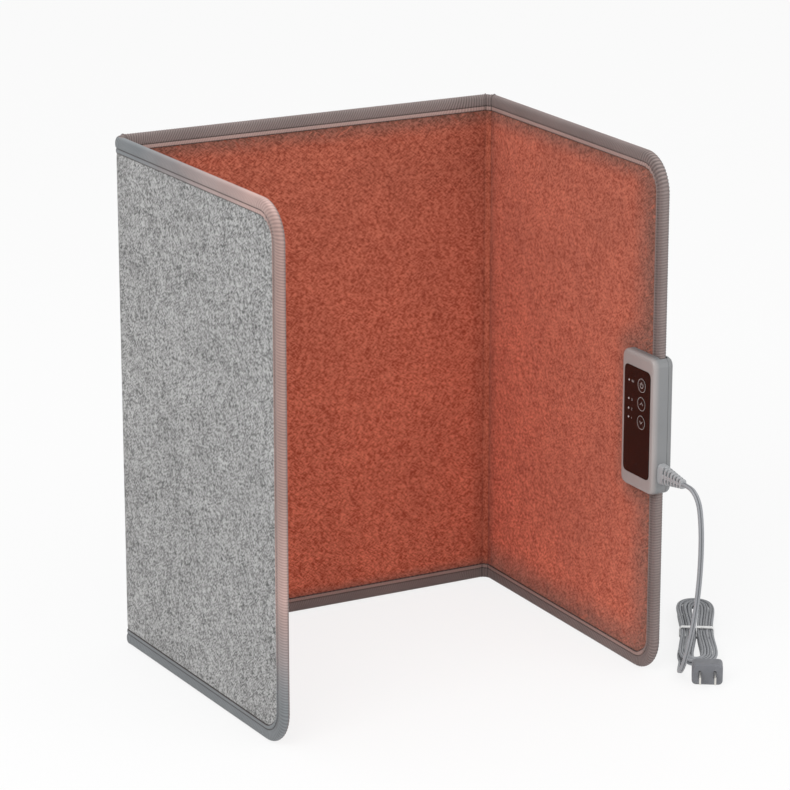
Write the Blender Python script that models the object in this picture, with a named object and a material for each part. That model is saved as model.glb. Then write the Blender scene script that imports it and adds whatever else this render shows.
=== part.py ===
"""Folding felt heater panel that stands open as a U in the leg space under a desk.

Three stiff panels, right, centre and left, are joined by two narrow fold strips.
Each panel is a stack of sheets inside a binding tape, a control box clamps over the
free edge of the right panel, and a flat supply cord leaves that box and lies beside
the panel, folded into a tied hank.

Metres, +Z up. The centre panel stands at the back along X, the open side faces -Y,
the floor is z = 0, and the origin is below the middle of the standing panels.
"""

import math
from collections import namedtuple

import bpy
import numpy as np
from mathutils import Matrix, Vector

# Panels and folds. Widths run from crease to crease, or from crease to free edge.
PANEL_HEIGHT = 0.450
CENTRE_WIDTH = 0.348
SIDE_WIDTH = 0.283
CORNER_RADIUS = 0.032
CORNER_STEPS = 6
RIGHT_FOLD = math.radians(90)
LEFT_FOLD = math.radians(92)
FOLD_GAP = 0.0006
FOLD_CLEARANCE = 0.0009

# Sheets of a panel, from the outer face inwards, with the same slit between neighbours
SLIT = 0.00025
TAPE = 0.0006
FELT = 0.0013
BOARD = 0.0010
INSULATION = 0.0004
FILM = 0.0004
OUTER_FELT_NEAR = TAPE + SLIT
OUTER_FELT_FAR = OUTER_FELT_NEAR + FELT
BOARD_NEAR = OUTER_FELT_FAR + SLIT
BOARD_FAR = BOARD_NEAR + BOARD
INSULATION_NEAR = BOARD_FAR + SLIT
INSULATION_FAR = INSULATION_NEAR + INSULATION
FILM_NEAR = INSULATION_FAR + SLIT
FILM_FAR = FILM_NEAR + FILM
INNER_FELT_NEAR = FILM_FAR + SLIT
INNER_FELT_FAR = INNER_FELT_NEAR + FELT
THICKNESS = INNER_FELT_FAR + SLIT + TAPE
OUTER_FACE = THICKNESS / 2
FOLD_WIDTH = THICKNESS + FOLD_CLEARANCE
FELT_INSET = TAPE + SLIT
CORE_INSET = 0.018
CORE_FOLD_INSET = 0.006

# Binding tape, folded over every outer edge and sewn through at its lip
BAND_WIDTH = 0.0095
LIP_WIDTH = 0.0040
LIP_STEP = 0.0002
EDGE_ROUND = 0.0016
EDGE_STEPS = 2

# Flat lead ribbon in the channel between the felts, below the core sheets
LEAD_INSET = 0.0045
LEAD_WIDTH = 0.0060
LEAD_THICKNESS = 0.0008
LEAD_INTO_BOX = 0.012
CONNECTOR_LENGTH = 0.014
CONNECTOR_THICKNESS = 0.0020
FUSE_LENGTH = 0.012
FUSE_WIDTH = 0.0040
FUSE_OFFSET = 0.030

# Control box over the right panel's free edge: x towards the edge, y outwards, z up
BOX_WIDTH = 0.050
BOX_HEIGHT = 0.118
BOX_BOTTOM = 0.163
BOX_OVERHANG = 0.0045
FRONT_RISE = 0.0085
REAR_RISE = 0.0040
WALL = 0.0016
PARTING = 0.0020
CLEARANCE = 0.0003
BOX_CORNER = 0.0070
BOX_ROUND = 0.0035
ROUND_STEPS = 3
CUT_OVERRUN = 0.0020
BOX_LOW_X = SIDE_WIDTH + BOX_OVERHANG - BOX_WIDTH
BOX_HIGH_X = SIDE_WIDTH + BOX_OVERHANG
BOX_TOP = BOX_BOTTOM + BOX_HEIGHT
BOX_FRONT = -(OUTER_FACE + FRONT_RISE)
BOX_REAR = OUTER_FACE + REAR_RISE
WALL_INSIDE = BOX_FRONT + WALL

# Key plate, keys and indicator dots
PLATE_WIDTH = 0.0395
PLATE_HEIGHT = 0.093
PLATE_CORNER = 0.0045
PLATE_THICKNESS = 0.0009
PLATE_RECESS = 0.0008
PLATE_LOW_X = BOX_LOW_X + (BOX_WIDTH - PLATE_WIDTH) / 2
PLATE_TOP = BOX_TOP - (BOX_HEIGHT - PLATE_HEIGHT) / 2
RECESS_FLOOR = BOX_FRONT + PLATE_RECESS
PLATE_BACK = RECESS_FLOOR - CLEARANCE / 2
PLATE_FRONT = PLATE_BACK - PLATE_THICKNESS
KEY_FROM_PLATE = 0.0270
FIRST_KEY_DROP = 0.0133
KEY_PITCH = 0.0160
KEY_RADIUS = 0.0060
KEY_PROUD = 0.0003
KEY_CAP = 0.0009
KEY_TRAVEL = 0.0004
STEM_RADIUS = 0.0017
STEM_PLAY = 0.0004
STEM_END = WALL_INSIDE - CLEARANCE / 2
KEY_FRONT = PLATE_FRONT - KEY_PROUD
KEY_X = PLATE_LOW_X + KEY_FROM_PLATE
KEY_NAMES = ("power_key", "up_key", "down_key")
DOT_FROM_PLATE = 0.0070
DOT_RADIUS = 0.0009
DOT_DROPS = (0.0131, 0.0292, 0.0375, 0.0453)
DOT_X = PLATE_LOW_X + DOT_FROM_PLATE
GUIDE_WIDTH = 0.0032
GUIDE_THICKNESS = 0.0012
GUIDE_MARGIN = 0.0020
ROUND_SIDES = 24
SMALL_SIDES = 12

# Inside the control box
CIRCUIT_MARGIN = 0.0008
CIRCUIT_THICKNESS = 0.0012
CIRCUIT_STANDOFF = 0.0018
STANDOFF_RADIUS = 0.0018
CIRCUIT_FRONT = WALL_INSIDE + CIRCUIT_STANDOFF
CIRCUIT_BACK = CIRCUIT_FRONT + CIRCUIT_THICKNESS
SWITCH_SIDE = 0.0050
SWITCH_BODY = 0.0008
PLUNGER_RADIUS = 0.0014
PART_HEIGHT = 0.0030
TRIAC_SIZE = (0.0100, 0.0046)
TRIAC_FROM_LOW = (0.0160, 0.0300)
TERMINAL_SIZE = (0.0100, 0.0160)
TERMINAL_FROM_LOW = (0.0345, 0.0090)
SCREW_INSET = 0.01575
SCREW_FROM_END = 0.0100
SCREW_RADIUS = 0.0010
SCREW_HOLE_RADIUS = 0.0013
SCREW_HEAD_RADIUS = 0.0021
SCREW_HEAD = 0.0012
SCREW_SUNK = 0.0002
SCREW_LENGTH = 0.0120
HEAD_POCKET_RADIUS = 0.0025
BOSS_RADIUS = 0.0020
HEAD_BOSS_RADIUS = 0.0036
HEAD_SEAT = 0.0004
FELT_HOLE_RADIUS = 0.0024

# Strain relief on the end face of the control box, half sizes across (y, z)
RELIEF_Y = -0.0020
RELIEF_ABOVE_BOX_FOOT = 0.019
RELIEF_Z = BOX_BOTTOM + RELIEF_ABOVE_BOX_FOOT
RELIEF_LENGTH = 0.032
RELIEF_FLANGE = (0.0034, 0.0065)
RELIEF_NECK = (0.0026, 0.0045)
RELIEF_BASE = (0.0048, 0.0090)
RELIEF_TIP = (0.0030, 0.0038)
RELIEF_COLLAR = 0.0050
RELIEF_RIBS = 6
RIB_GROOVE = 0.0011
RIB_SHARE = 0.62
RELIEF_CORNER = 0.0016
RELIEF_EXIT_X = BOX_HIGH_X + CLEARANCE + RELIEF_LENGTH

# Supply cord, in the right panel's frame
CORD_DIAMETER = 0.0040
CORD_STEP = 2.4 * CORD_DIAMETER
CORD_ROUND_STEPS = 2
HANK_ROUND_STEPS = 1
CORD_ROUTE = (
    (0.3325, -0.0012, 0.1802),
    (0.3385, 0.0002, 0.1730),
    (0.3408, 0.0016, 0.1610),
    (0.3414, 0.0028, 0.1380),
    (0.3392, 0.0036, 0.1070),
    (0.3336, 0.0042, 0.0740),
    (0.3244, 0.0050, 0.0430),
    (0.3132, 0.0072, 0.0200),
    (0.3000, 0.0125, 0.0080),
    (0.2860, 0.0215, 0.0045),
)

# Hank: loops of the cord in two layers, drawn in at the waist where the tie holds them
HANK_CENTRE = (0.2215, 0.0790)
HANK_HEADING = math.radians(-32.3)
HANK_HALF_LENGTH = 0.066
HANK_GAP = 0.0008
HANK_LAYER_GAP = 0.0006
HANK_BULGE = 0.0080
HANK_POINTS = 24
HANK_POINTS_IN = 51
HANK_POINTS_OUT = 64
HANK_CROWDING_SHARE = 0.3
TIE_THICKNESS = 0.0008
TIE_WIDTH = 0.0040
TIE_CLEARANCE = 0.0003
TIE_STEPS = 4
HANK_LOW = TIE_THICKNESS + TIE_CLEARANCE + CORD_DIAMETER / 2

# Plug at the near end, lying flat
PLUG_AHEAD = 0.1115
PLUG_ASIDE = 0.0085
PLUG_WIDTH = 0.0260
PLUG_HEIGHT = 0.0185
PLUG_CORNER = 0.0035
PLUG_LENGTH = 0.0260
PLUG_NECK_WIDTH = 0.0105
PLUG_NECK_HEIGHT = 0.0080
PLUG_NECK_LENGTH = 0.0070
PLUG_FLARE = 0.0050
PLUG_ROUND = 0.0015
BLADE_SPACING = 0.0127
BLADE_WIDTH = 0.0063
BLADE_THICKNESS = 0.0015
BLADE_OUT = 0.0155
BLADE_IN = 0.0050

# Colours, as linear red, green and blue
FELT_GREY = (0.36, 0.36, 0.36)
FELT_WARM = (0.40, 0.11, 0.07)
TAPE_GREY = (0.22, 0.23, 0.24)
BOARD_BROWN = (0.35, 0.27, 0.18)
FOIL = (0.75, 0.76, 0.78)
FILM_BLACK = (0.02, 0.02, 0.022)
SHELL_GREY = (0.34, 0.35, 0.36)
PLATE_BLACK = (0.008, 0.008, 0.010)
CORD_GREY = (0.30, 0.31, 0.33)
PLUG_GREY = (0.15, 0.155, 0.165)
WHITE = (0.85, 0.85, 0.83)
STEEL = (0.60, 0.60, 0.60)
GREEN = (0.03, 0.20, 0.08)
COPPER = (0.75, 0.40, 0.22)

Leaf = namedtuple("Leaf", "owner low high low_free high_free")


def clear_scene():
    for item in list(bpy.data.objects):
        bpy.data.objects.remove(item, do_unlink=True)


def material(name, colour, roughness, metallic=0.0):
    """A plain Principled material, made once for each name."""
    made = bpy.data.materials.get(name)
    if made is None:
        made = bpy.data.materials.new(name)
        made.use_nodes = True
        shader = made.node_tree.nodes["Principled BSDF"]
        shader.inputs["Base Color"].default_value = (*colour, 1.0)
        shader.inputs["Roughness"].default_value = roughness
        shader.inputs["Metallic"].default_value = metallic
    return made


def axis_empty(name, parent, place, turn):
    """An empty on a joint's axis, placed in its parent's frame."""
    empty = bpy.data.objects.new(name, None)
    bpy.context.scene.collection.objects.link(empty)
    empty.parent = parent
    empty.location = place
    empty.rotation_euler = (0, 0, turn)
    return empty


def add_object(name, data, owner, finish, origin=(0, 0, 0)):
    item = bpy.data.objects.new(name, data)
    bpy.context.scene.collection.objects.link(item)
    item.parent = owner
    item.location = origin
    if finish is not None:
        data.materials.append(finish)
    return item


def shell_mesh(name, rings):
    """A closed mesh through rings of as many points each, with a flat cap at both ends."""
    count = len(rings[0])
    points = [tuple(point) for ring in rings for point in ring]
    faces = [tuple(range(count)), tuple(range(len(points) - count, len(points)))[::-1]]
    for k in range(len(rings) - 1):
        for i in range(count):
            here = k * count + i
            beside = k * count + (i + 1) % count
            faces.append((beside, here, here + count, beside + count))
    mesh = bpy.data.meshes.new(name)
    mesh.from_pydata(points, [], faces)
    mesh.validate()
    return mesh


def outward(mesh):
    """Turns the mesh inside out if its faces point inwards."""
    mesh.calc_loop_triangles()
    places = [Vector(v.co) for v in mesh.vertices]
    volume = sum(
        places[a].dot(places[b].cross(places[c]))
        for a, b, c in (t.vertices for t in mesh.loop_triangles)
    )
    if volume < 0:
        mesh.flip_normals()
    return mesh


def loft(name, rings, owner, finish, smooth=False, origin=(0, 0, 0)):
    mesh = outward(shell_mesh(name, rings))
    if smooth:
        mesh.shade_smooth()
        mesh.set_sharp_from_angle(angle=math.radians(40))
    return add_object(name, mesh, owner, finish, origin)


def helper(item):
    """Marks a cutter or an added shape, which is no part of its own."""
    item.hide_render = True
    item.display_type = "WIRE"
    return item


def boolean(item, other, operation):
    change = item.modifiers.new(other.name, "BOOLEAN")
    change.operation = operation
    change.solver = "EXACT"
    change.object = helper(other)


def cut(item, other):
    boolean(item, other, "DIFFERENCE")


def join(item, other):
    boolean(item, other, "UNION")


def box_rings(low, high):
    """Two rings of a box, one at each end along y."""
    corners = ((low[0], low[2]), (high[0], low[2]), (high[0], high[2]), (low[0], high[2]))
    return [[(x, y, z) for x, z in corners] for y in (low[1], high[1])]


def box(name, low, high, owner, finish=None):
    return loft(name, box_rings(low, high), owner, finish)


def circle(radius, sides):
    angles = [math.tau * i / sides for i in range(sides)]
    return [(radius * math.cos(a), radius * math.sin(a)) for a in angles]


def rod(name, centre, near, far, radius, owner, finish=None, sides=SMALL_SIDES):
    """A round rod along y from near to far, about the point (x, z)."""
    outline = circle(radius, sides)
    rings = [[(centre[0] + a, y, centre[1] + b) for a, b in outline] for y in (near, far)]
    return loft(name, rings, owner, finish, smooth=True)


def rounded_rectangle(low_u, high_u, low_v, high_v, radius, steps):
    """Points round a rectangle with round corners, anticlockwise from its lower right."""
    centres = (
        (high_u - radius, low_v + radius),
        (high_u - radius, high_v - radius),
        (low_u + radius, high_v - radius),
        (low_u + radius, low_v + radius),
    )
    points = []
    for quarter, (u, v) in enumerate(centres):
        for i in range(steps + 1):
            angle = math.pi / 2 * (quarter - 1 + i / steps)
            points.append((u + radius * math.cos(angle), v + radius * math.sin(angle)))
    return points


def y_at(depth):
    """The place across a panel of a depth below its outer face."""
    return OUTER_FACE - depth


def fold_edge(depth):
    """How far a sheet's edge stays from the crease: square outside, mitred inside."""
    return FOLD_GAP / 2 + max(0, depth - OUTER_FACE)


def leaf_path(leaf, inset, depth, fold_inset=None):
    """Points (x, z) round a leaf at an inset from its outer edges, starting at a fold.

    A leaf with a free side goes round that side's two corners and back to the fold.
    A leaf between two folds has four plain corners.
    """
    held = fold_edge(depth) if fold_inset is None else fold_inset
    top = PANEL_HEIGHT - inset
    if not (leaf.low_free or leaf.high_free):
        low, high = leaf.low + held, leaf.high - held
        return [(low, inset), (high, inset), (high, top), (low, top)]
    side = 1 if leaf.high_free else -1
    edge = leaf.high if leaf.high_free else leaf.low
    fold = leaf.low + held if leaf.high_free else leaf.high - held
    centre = edge - side * CORNER_RADIUS
    radius = CORNER_RADIUS - inset
    arc = [math.pi / 2 * i / CORNER_STEPS for i in range(CORNER_STEPS + 1)]
    low_arc = [
        (centre + side * radius * math.sin(a), CORNER_RADIUS - radius * math.cos(a))
        for a in arc
    ]
    high_arc = [
        (centre + side * radius * math.cos(a), PANEL_HEIGHT - CORNER_RADIUS + radius * math.sin(a))
        for a in arc
    ]
    return [(fold, inset)] + low_arc + high_arc + [(fold, top)]


def sheet(name, leaf, near, far, inset, finish, fold_inset=None):
    """A flat sheet of a leaf between two depths."""
    rings = [
        [(x, y_at(depth), z) for x, z in leaf_path(leaf, inset, depth, fold_inset)]
        for depth in (near, far)
    ]
    return loft(name, rings, leaf.owner, finish)


def binding_section():
    """The tape's section as (distance in from the edge, depth): a U with a lip each side."""
    cover = BAND_WIDTH + LIP_WIDTH
    side = [(cover, LIP_STEP), (BAND_WIDTH, LIP_STEP), (BAND_WIDTH, 0)]
    for i in range(EDGE_STEPS + 1):
        angle = math.pi / 2 * i / EDGE_STEPS
        side.append((EDGE_ROUND * (1 - math.sin(angle)), EDGE_ROUND * (1 - math.cos(angle))))
    other = [(n, THICKNESS - depth) for n, depth in reversed(side)]
    slot = [(cover, THICKNESS - TAPE), (TAPE, THICKNESS - TAPE), (TAPE, TAPE), (cover, TAPE)]
    return side + other + slot


def binding_round(name, leaf, finish):
    """The tape along the three outer sides of a leaf with a free edge."""
    section = binding_section()
    paths = [leaf_path(leaf, n, depth) for n, depth in section]
    rings = [
        [(path[k][0], y_at(depth), path[k][1]) for path, (n, depth) in zip(paths, section)]
        for k in range(len(paths[0]))
    ]
    return loft(name, rings, leaf.owner, finish)


def binding_straight(name, leaf, at_top, finish):
    """The tape along the top or the bottom of a leaf between two folds."""
    rings = []
    for end in (0, 1):
        ring = []
        for n, depth in binding_section():
            x = leaf.high - fold_edge(depth) if end else leaf.low + fold_edge(depth)
            ring.append((x, y_at(depth), PANEL_HEIGHT - n if at_top else n))
        rings.append(ring)
    return loft(name, rings, leaf.owner, finish)


def lead_section():
    """The lead ribbon's section as (distance in from the edge, depth), about mid depth."""
    near, far = OUTER_FACE - LEAD_THICKNESS / 2, OUTER_FACE + LEAD_THICKNESS / 2
    return [(LEAD_INSET, near), (LEAD_INSET, far), (LEAD_INSET + LEAD_WIDTH, far), (LEAD_INSET + LEAD_WIDTH, near)]


def lead_straight(name, leaf, low, high, finish):
    """A straight run of lead ribbon along the bottom of a leaf."""
    rings = [[(x, y_at(depth), n) for n, depth in lead_section()] for x in (low, high)]
    return loft(name, rings, leaf.owner, finish)


def lead_round(name, leaf, top, finish):
    """Lead ribbon from the fold, round the free lower corner and up to a height."""
    section = lead_section()
    paths = [leaf_path(leaf, n, depth)[: CORNER_STEPS + 2] for n, depth in section]
    rings = [
        [(path[k][0], y_at(depth), path[k][1]) for path, (n, depth) in zip(paths, section)]
        for k in range(CORNER_STEPS + 2)
    ]
    rings.append([(x, y, top) for x, y, z in rings[-1]])
    return loft(name, rings, leaf.owner, finish)


def channel_block(name, leaf, centre, length, height, thickness, finish):
    """A small block that sits on the lead ribbon, centred on the panel's mid depth."""
    low_z = LEAD_INSET + LEAD_WIDTH + SLIT
    low = (centre - length / 2, -thickness / 2, low_z)
    high = (centre + length / 2, thickness / 2, low_z + height)
    return box(name, low, high, leaf.owner, finish)


def make_panel(prefix, leaf, parts):
    """The sheets of one panel, each its own node."""
    core = {"inset": CORE_INSET, "fold_inset": CORE_FOLD_INSET}
    parts[prefix + "_outer_felt"] = sheet(
        prefix + "_outer_felt", leaf, OUTER_FELT_NEAR, OUTER_FELT_FAR, FELT_INSET,
        material("outer_felt", FELT_GREY, 0.95),
    )
    sheet(prefix + "_stiffener_board", leaf, BOARD_NEAR, BOARD_FAR,
          finish=material("board", BOARD_BROWN, 0.8), **core)
    sheet(prefix + "_insulation_sheet", leaf, INSULATION_NEAR, INSULATION_FAR,
          finish=material("foil", FOIL, 0.3, 1.0), **core)
    sheet(prefix + "_heating_film", leaf, FILM_NEAR, FILM_FAR,
          finish=material("film", FILM_BLACK, 0.35), **core)
    parts[prefix + "_inner_felt"] = sheet(
        prefix + "_inner_felt", leaf, INNER_FELT_NEAR, INNER_FELT_FAR, FELT_INSET,
        material("inner_felt", FELT_WARM, 0.95),
    )


def make_straight_bindings(prefix, leaf):
    tape = material("binding_tape", TAPE_GREY, 0.8)
    binding_straight(prefix + "_top_binding", leaf, True, tape)
    binding_straight(prefix + "_bottom_binding", leaf, False, tape)


def make_fold(prefix, leaf):
    """A fold strip: two felts, a piece of tape above and below, and the lead between."""
    sheet(prefix + "_outer_felt", leaf, OUTER_FELT_NEAR, OUTER_FELT_FAR, FELT_INSET,
          material("outer_felt", FELT_GREY, 0.95))
    sheet(prefix + "_inner_felt", leaf, INNER_FELT_NEAR, INNER_FELT_FAR, FELT_INSET,
          material("inner_felt", FELT_WARM, 0.95))
    make_straight_bindings(prefix, leaf)
    held = fold_edge(OUTER_FACE + LEAD_THICKNESS / 2)
    lead_straight(prefix + "_lead", leaf, leaf.low + held, leaf.high - held,
                  material("lead", WHITE, 0.5))


def make_leads(leaves):
    """Lead ribbons of the three panels, with the films' connectors and the fuse."""
    white = material("lead", WHITE, 0.5)
    held = fold_edge(OUTER_FACE + LEAD_THICKNESS / 2)
    centre, left = leaves["centre"], leaves["left"]
    middle = (centre.low + centre.high) / 2
    left_middle = (left.low + left.high) / 2
    left_end = left_middle - CONNECTOR_LENGTH / 2
    lead_round("right_lead", leaves["right"], BOX_BOTTOM + LEAD_INTO_BOX, white)
    lead_straight("centre_lead", centre, centre.low + held, centre.high - held, white)
    lead_straight("left_lead", left, left_end, left.high - held, white)
    rise = CORE_INSET - LEAD_INSET - LEAD_WIDTH - 2 * SLIT
    connector = material("connector", WHITE, 0.4)
    places = (("right", SIDE_WIDTH / 2), ("centre", middle), ("left", left_middle))
    for side, place in places:
        channel_block(side + "_film_connector", leaves[side], place,
                      CONNECTOR_LENGTH, rise, CONNECTOR_THICKNESS, connector)
    channel_block("thermal_fuse", centre, middle + FUSE_OFFSET, FUSE_LENGTH, FUSE_WIDTH,
                  CONNECTOR_THICKNESS, material("fuse", STEEL, 0.3, 1.0))


def case_loft(name, profile, owner, finish=None, corner=BOX_CORNER, inset=0.0, drop_x=0.0):
    """Rounded plates of the control box's outline, stacked along y.

    The profile lists (y, how far the outline is drawn in).
    """
    rings = []
    for y, drawn in profile:
        back = inset + drawn
        outline = rounded_rectangle(
            BOX_LOW_X + back + drop_x, BOX_HIGH_X - back, BOX_BOTTOM + back, BOX_TOP - back,
            corner - back, ROUND_STEPS,
        )
        rings.append([(x, y, z) for x, z in outline])
    return loft(name, rings, owner, finish, smooth=finish is not None)


def round_over(face, inward):
    """Profile points of a quarter round that ends flat on the face."""
    points = []
    for i in range(ROUND_STEPS + 1):
        angle = math.pi / 2 * i / ROUND_STEPS
        drawn = BOX_ROUND * (1 - math.cos(angle))
        points.append((face + inward * BOX_ROUND * (1 - math.sin(angle)), drawn))
    return points


def screw_places():
    x = SIDE_WIDTH - SCREW_INSET
    return ((x, BOX_BOTTOM + SCREW_FROM_END), (x, BOX_TOP - SCREW_FROM_END))


def key_places():
    top = PLATE_TOP - FIRST_KEY_DROP
    return [(KEY_X, top - KEY_PITCH * i) for i in range(len(KEY_NAMES))]


def dot_places():
    return [(DOT_X, PLATE_TOP - drop) for drop in DOT_DROPS]


def panel_slot(name, owner, near, far):
    """The room that the panel's edge takes inside a half of the control box."""
    low = (BOX_LOW_X - CUT_OVERRUN, near, BOX_BOTTOM - CUT_OVERRUN)
    high = (SIDE_WIDTH + CLEARANCE, far, BOX_TOP + CUT_OVERRUN)
    return box(name, low, high, owner)


def standoff_places():
    x_low, x_high = BOX_LOW_X + WALL, BOX_HIGH_X - WALL
    reach = CIRCUIT_MARGIN + 2 * STANDOFF_RADIUS
    z_low, z_high = BOX_BOTTOM + WALL + reach, BOX_TOP - WALL - reach
    return [(x, z) for x in (x_low + reach, x_high - reach) for z in (z_low, z_high)]


def make_front_shell(owner):
    grey = material("shell", SHELL_GREY, 0.45)
    profile = round_over(BOX_FRONT, 1)[::-1] + [(PARTING, 0.0)]
    shell = case_loft("front_shell", profile, owner, grey)
    felt_face = y_at(INNER_FELT_FAR)
    cut(shell, panel_slot("front_panel_slot", owner, -(OUTER_FACE + CLEARANCE), PARTING + CUT_OVERRUN))
    hollow = [(WALL_INSIDE, 0.0), (PARTING + CUT_OVERRUN, 0.0)]
    cut(shell, case_loft("front_hollow", hollow, owner, inset=WALL))
    for i, (x, z) in enumerate(screw_places()):
        boss_end = felt_face - CLEARANCE
        join(shell, rod(f"front_boss_{i}", (x, z), WALL_INSIDE - WALL / 2, boss_end, BOSS_RADIUS, owner))
        pilot = boss_end - SCREW_LENGTH
        cut(shell, rod(f"front_pilot_{i}", (x, z), max(pilot, WALL_INSIDE), boss_end + CUT_OVERRUN,
                       SCREW_HOLE_RADIUS, owner))
    for i, place in enumerate(standoff_places()):
        join(shell, rod(f"standoff_{i}", place, WALL_INSIDE - WALL / 2,
                        CIRCUIT_FRONT - CLEARANCE / 2, STANDOFF_RADIUS, owner))
    cut(shell, plate_solid("plate_recess", owner, BOX_FRONT - CUT_OVERRUN, RECESS_FLOOR, CLEARANCE))
    for i, place in enumerate(key_places()):
        cut(shell, rod(f"stem_hole_{i}", place, BOX_FRONT, WALL_INSIDE + WALL,
                       STEM_RADIUS + STEM_PLAY, owner))
    for i, place in enumerate(dot_places()):
        cut(shell, rod(f"dot_hole_{i}", place, BOX_FRONT, WALL_INSIDE + WALL / 2,
                       DOT_RADIUS + CLEARANCE, owner))
    half_y, half_z = RELIEF_NECK
    low = (BOX_HIGH_X - WALL - CUT_OVERRUN, RELIEF_Y - half_y - CLEARANCE, RELIEF_Z - half_z - CLEARANCE)
    high = (BOX_HIGH_X + CUT_OVERRUN, RELIEF_Y + half_y + CLEARANCE, RELIEF_Z + half_z + CLEARANCE)
    cut(shell, box("relief_hole", low, high, owner))


def make_rear_cover(owner):
    grey = material("shell", SHELL_GREY, 0.45)
    profile = [(PARTING + CLEARANCE, 0.0)] + round_over(BOX_REAR, -1)
    cover = case_loft("rear_cover", profile, owner, grey)
    felt_face = y_at(OUTER_FELT_NEAR)
    cut(cover, panel_slot("rear_panel_slot", owner, PARTING - CUT_OVERRUN, OUTER_FACE + CLEARANCE))
    hollow = [(PARTING - CUT_OVERRUN, 0.0), (BOX_REAR - WALL, 0.0)]
    cut(cover, case_loft("rear_hollow", hollow, owner, inset=WALL))
    floor = BOX_REAR - SCREW_SUNK - SCREW_HEAD - CLEARANCE
    for i, (x, z) in enumerate(screw_places()):
        seat = OUTER_FACE + CLEARANCE + HEAD_SEAT
        join(cover, rod(f"rear_seat_{i}", (x, z), seat, BOX_REAR - WALL / 2, HEAD_BOSS_RADIUS, owner))
        join(cover, rod(f"rear_boss_{i}", (x, z), felt_face + CLEARANCE, seat + WALL / 2, BOSS_RADIUS, owner))
        cut(cover, rod(f"head_pocket_{i}", (x, z), floor, BOX_REAR + CUT_OVERRUN, HEAD_POCKET_RADIUS, owner))
        cut(cover, rod(f"rear_hole_{i}", (x, z), felt_face - CUT_OVERRUN, floor + CUT_OVERRUN,
                       SCREW_HOLE_RADIUS, owner))


def make_screws(owner):
    """Two screws that clamp the box's halves over the panel: a head, then a shank."""
    head_low = BOX_REAR - SCREW_SUNK - SCREW_HEAD
    steps = (
        (head_low + SCREW_HEAD, SCREW_HEAD_RADIUS),
        (head_low, SCREW_HEAD_RADIUS),
        (head_low, SCREW_RADIUS),
        (head_low - SCREW_LENGTH, SCREW_RADIUS),
    )
    steel = material("screw", STEEL, 0.3, 1.0)
    for i, (x, z) in enumerate(screw_places()):
        rings = [
            [(a, y, b) for a, b in circle(radius, SMALL_SIDES)] for y, radius in steps
        ]
        loft(f"clamp_screw_{i + 1}", rings, owner, steel, smooth=True, origin=(x, 0, z))


def cut_felts(felts, owner):
    """Holes through the felts for the screw bosses."""
    for name in felts:
        for i, (x, z) in enumerate(screw_places()):
            drill = rod(f"{name}_hole_{i}", (x, z), -THICKNESS, THICKNESS, FELT_HOLE_RADIUS, owner)
            cut(felts[name], drill)


def plate_solid(name, owner, near, far, play=0.0, finish=None):
    outline = rounded_rectangle(
        PLATE_LOW_X - play, PLATE_LOW_X + PLATE_WIDTH + play,
        PLATE_TOP - PLATE_HEIGHT - play, PLATE_TOP + play,
        PLATE_CORNER + play, ROUND_STEPS,
    )
    rings = [[(x, y, z) for x, z in outline] for y in (near, far)]
    return loft(name, rings, owner, finish)


def make_key_plate(owner):
    plate = plate_solid("key_plate", owner, PLATE_FRONT, PLATE_BACK,
                        finish=material("key_plate", PLATE_BLACK, 0.12))
    for i, place in enumerate(key_places()):
        cut(plate, rod(f"key_hole_{i}", place, PLATE_FRONT - CUT_OVERRUN, PLATE_BACK + CUT_OVERRUN,
                       KEY_RADIUS + CLEARANCE, owner, sides=ROUND_SIDES))
    for i, place in enumerate(dot_places()):
        cut(plate, rod(f"dot_window_{i}", place, PLATE_FRONT - CUT_OVERRUN, PLATE_BACK + CUT_OVERRUN,
                       DOT_RADIUS + CLEARANCE, owner))


def make_keys(owner):
    """Round key caps with a stem each, whose origin lies on the way they travel."""
    black = material("key", PLATE_BLACK, 0.2)
    steps = (
        (KEY_FRONT, KEY_RADIUS, ROUND_SIDES),
        (KEY_FRONT + KEY_CAP, KEY_RADIUS, ROUND_SIDES),
        (KEY_FRONT + KEY_CAP, STEM_RADIUS, ROUND_SIDES),
        (STEM_END, STEM_RADIUS, ROUND_SIDES),
    )
    for name, (x, z) in zip(KEY_NAMES, key_places()):
        rings = [[(a, y, b) for a, b in circle(radius, sides)] for y, radius, sides in steps]
        loft(name, rings, owner, black, smooth=True, origin=(x, 0, z))


def make_circuit(owner):
    """The circuit board and what is soldered to it."""
    back = CIRCUIT_MARGIN
    rings = []
    for y in (CIRCUIT_FRONT, CIRCUIT_BACK):
        outline = rounded_rectangle(
            BOX_LOW_X + WALL + back, BOX_HIGH_X - WALL - back,
            BOX_BOTTOM + WALL + back, BOX_TOP - WALL - back, BOX_CORNER - WALL - back, ROUND_STEPS,
        )
        rings.append([(x, y, z) for x, z in outline])
    board = loft("circuit_board", rings, owner, material("circuit", GREEN, 0.4))
    for i, place in enumerate(screw_places()):
        cut(board, rod(f"boss_hole_{i}", place, CIRCUIT_FRONT - CUT_OVERRUN, CIRCUIT_BACK + CUT_OVERRUN,
                       BOSS_RADIUS + CLEARANCE, owner))
    make_switches(owner)
    blocks = (
        ("triac", TRIAC_FROM_LOW, TRIAC_SIZE, material("triac", FILM_BLACK, 0.4)),
        ("terminal_block", TERMINAL_FROM_LOW, TERMINAL_SIZE, material("terminal", WHITE, 0.4)),
    )
    near = CIRCUIT_BACK + CLEARANCE / 2
    for name, place, size, finish in blocks:
        low = (BOX_LOW_X + place[0], near, BOX_BOTTOM + place[1])
        high = (low[0] + size[0], near + PART_HEIGHT, low[2] + size[1])
        box(name, low, high, owner, finish)


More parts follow.
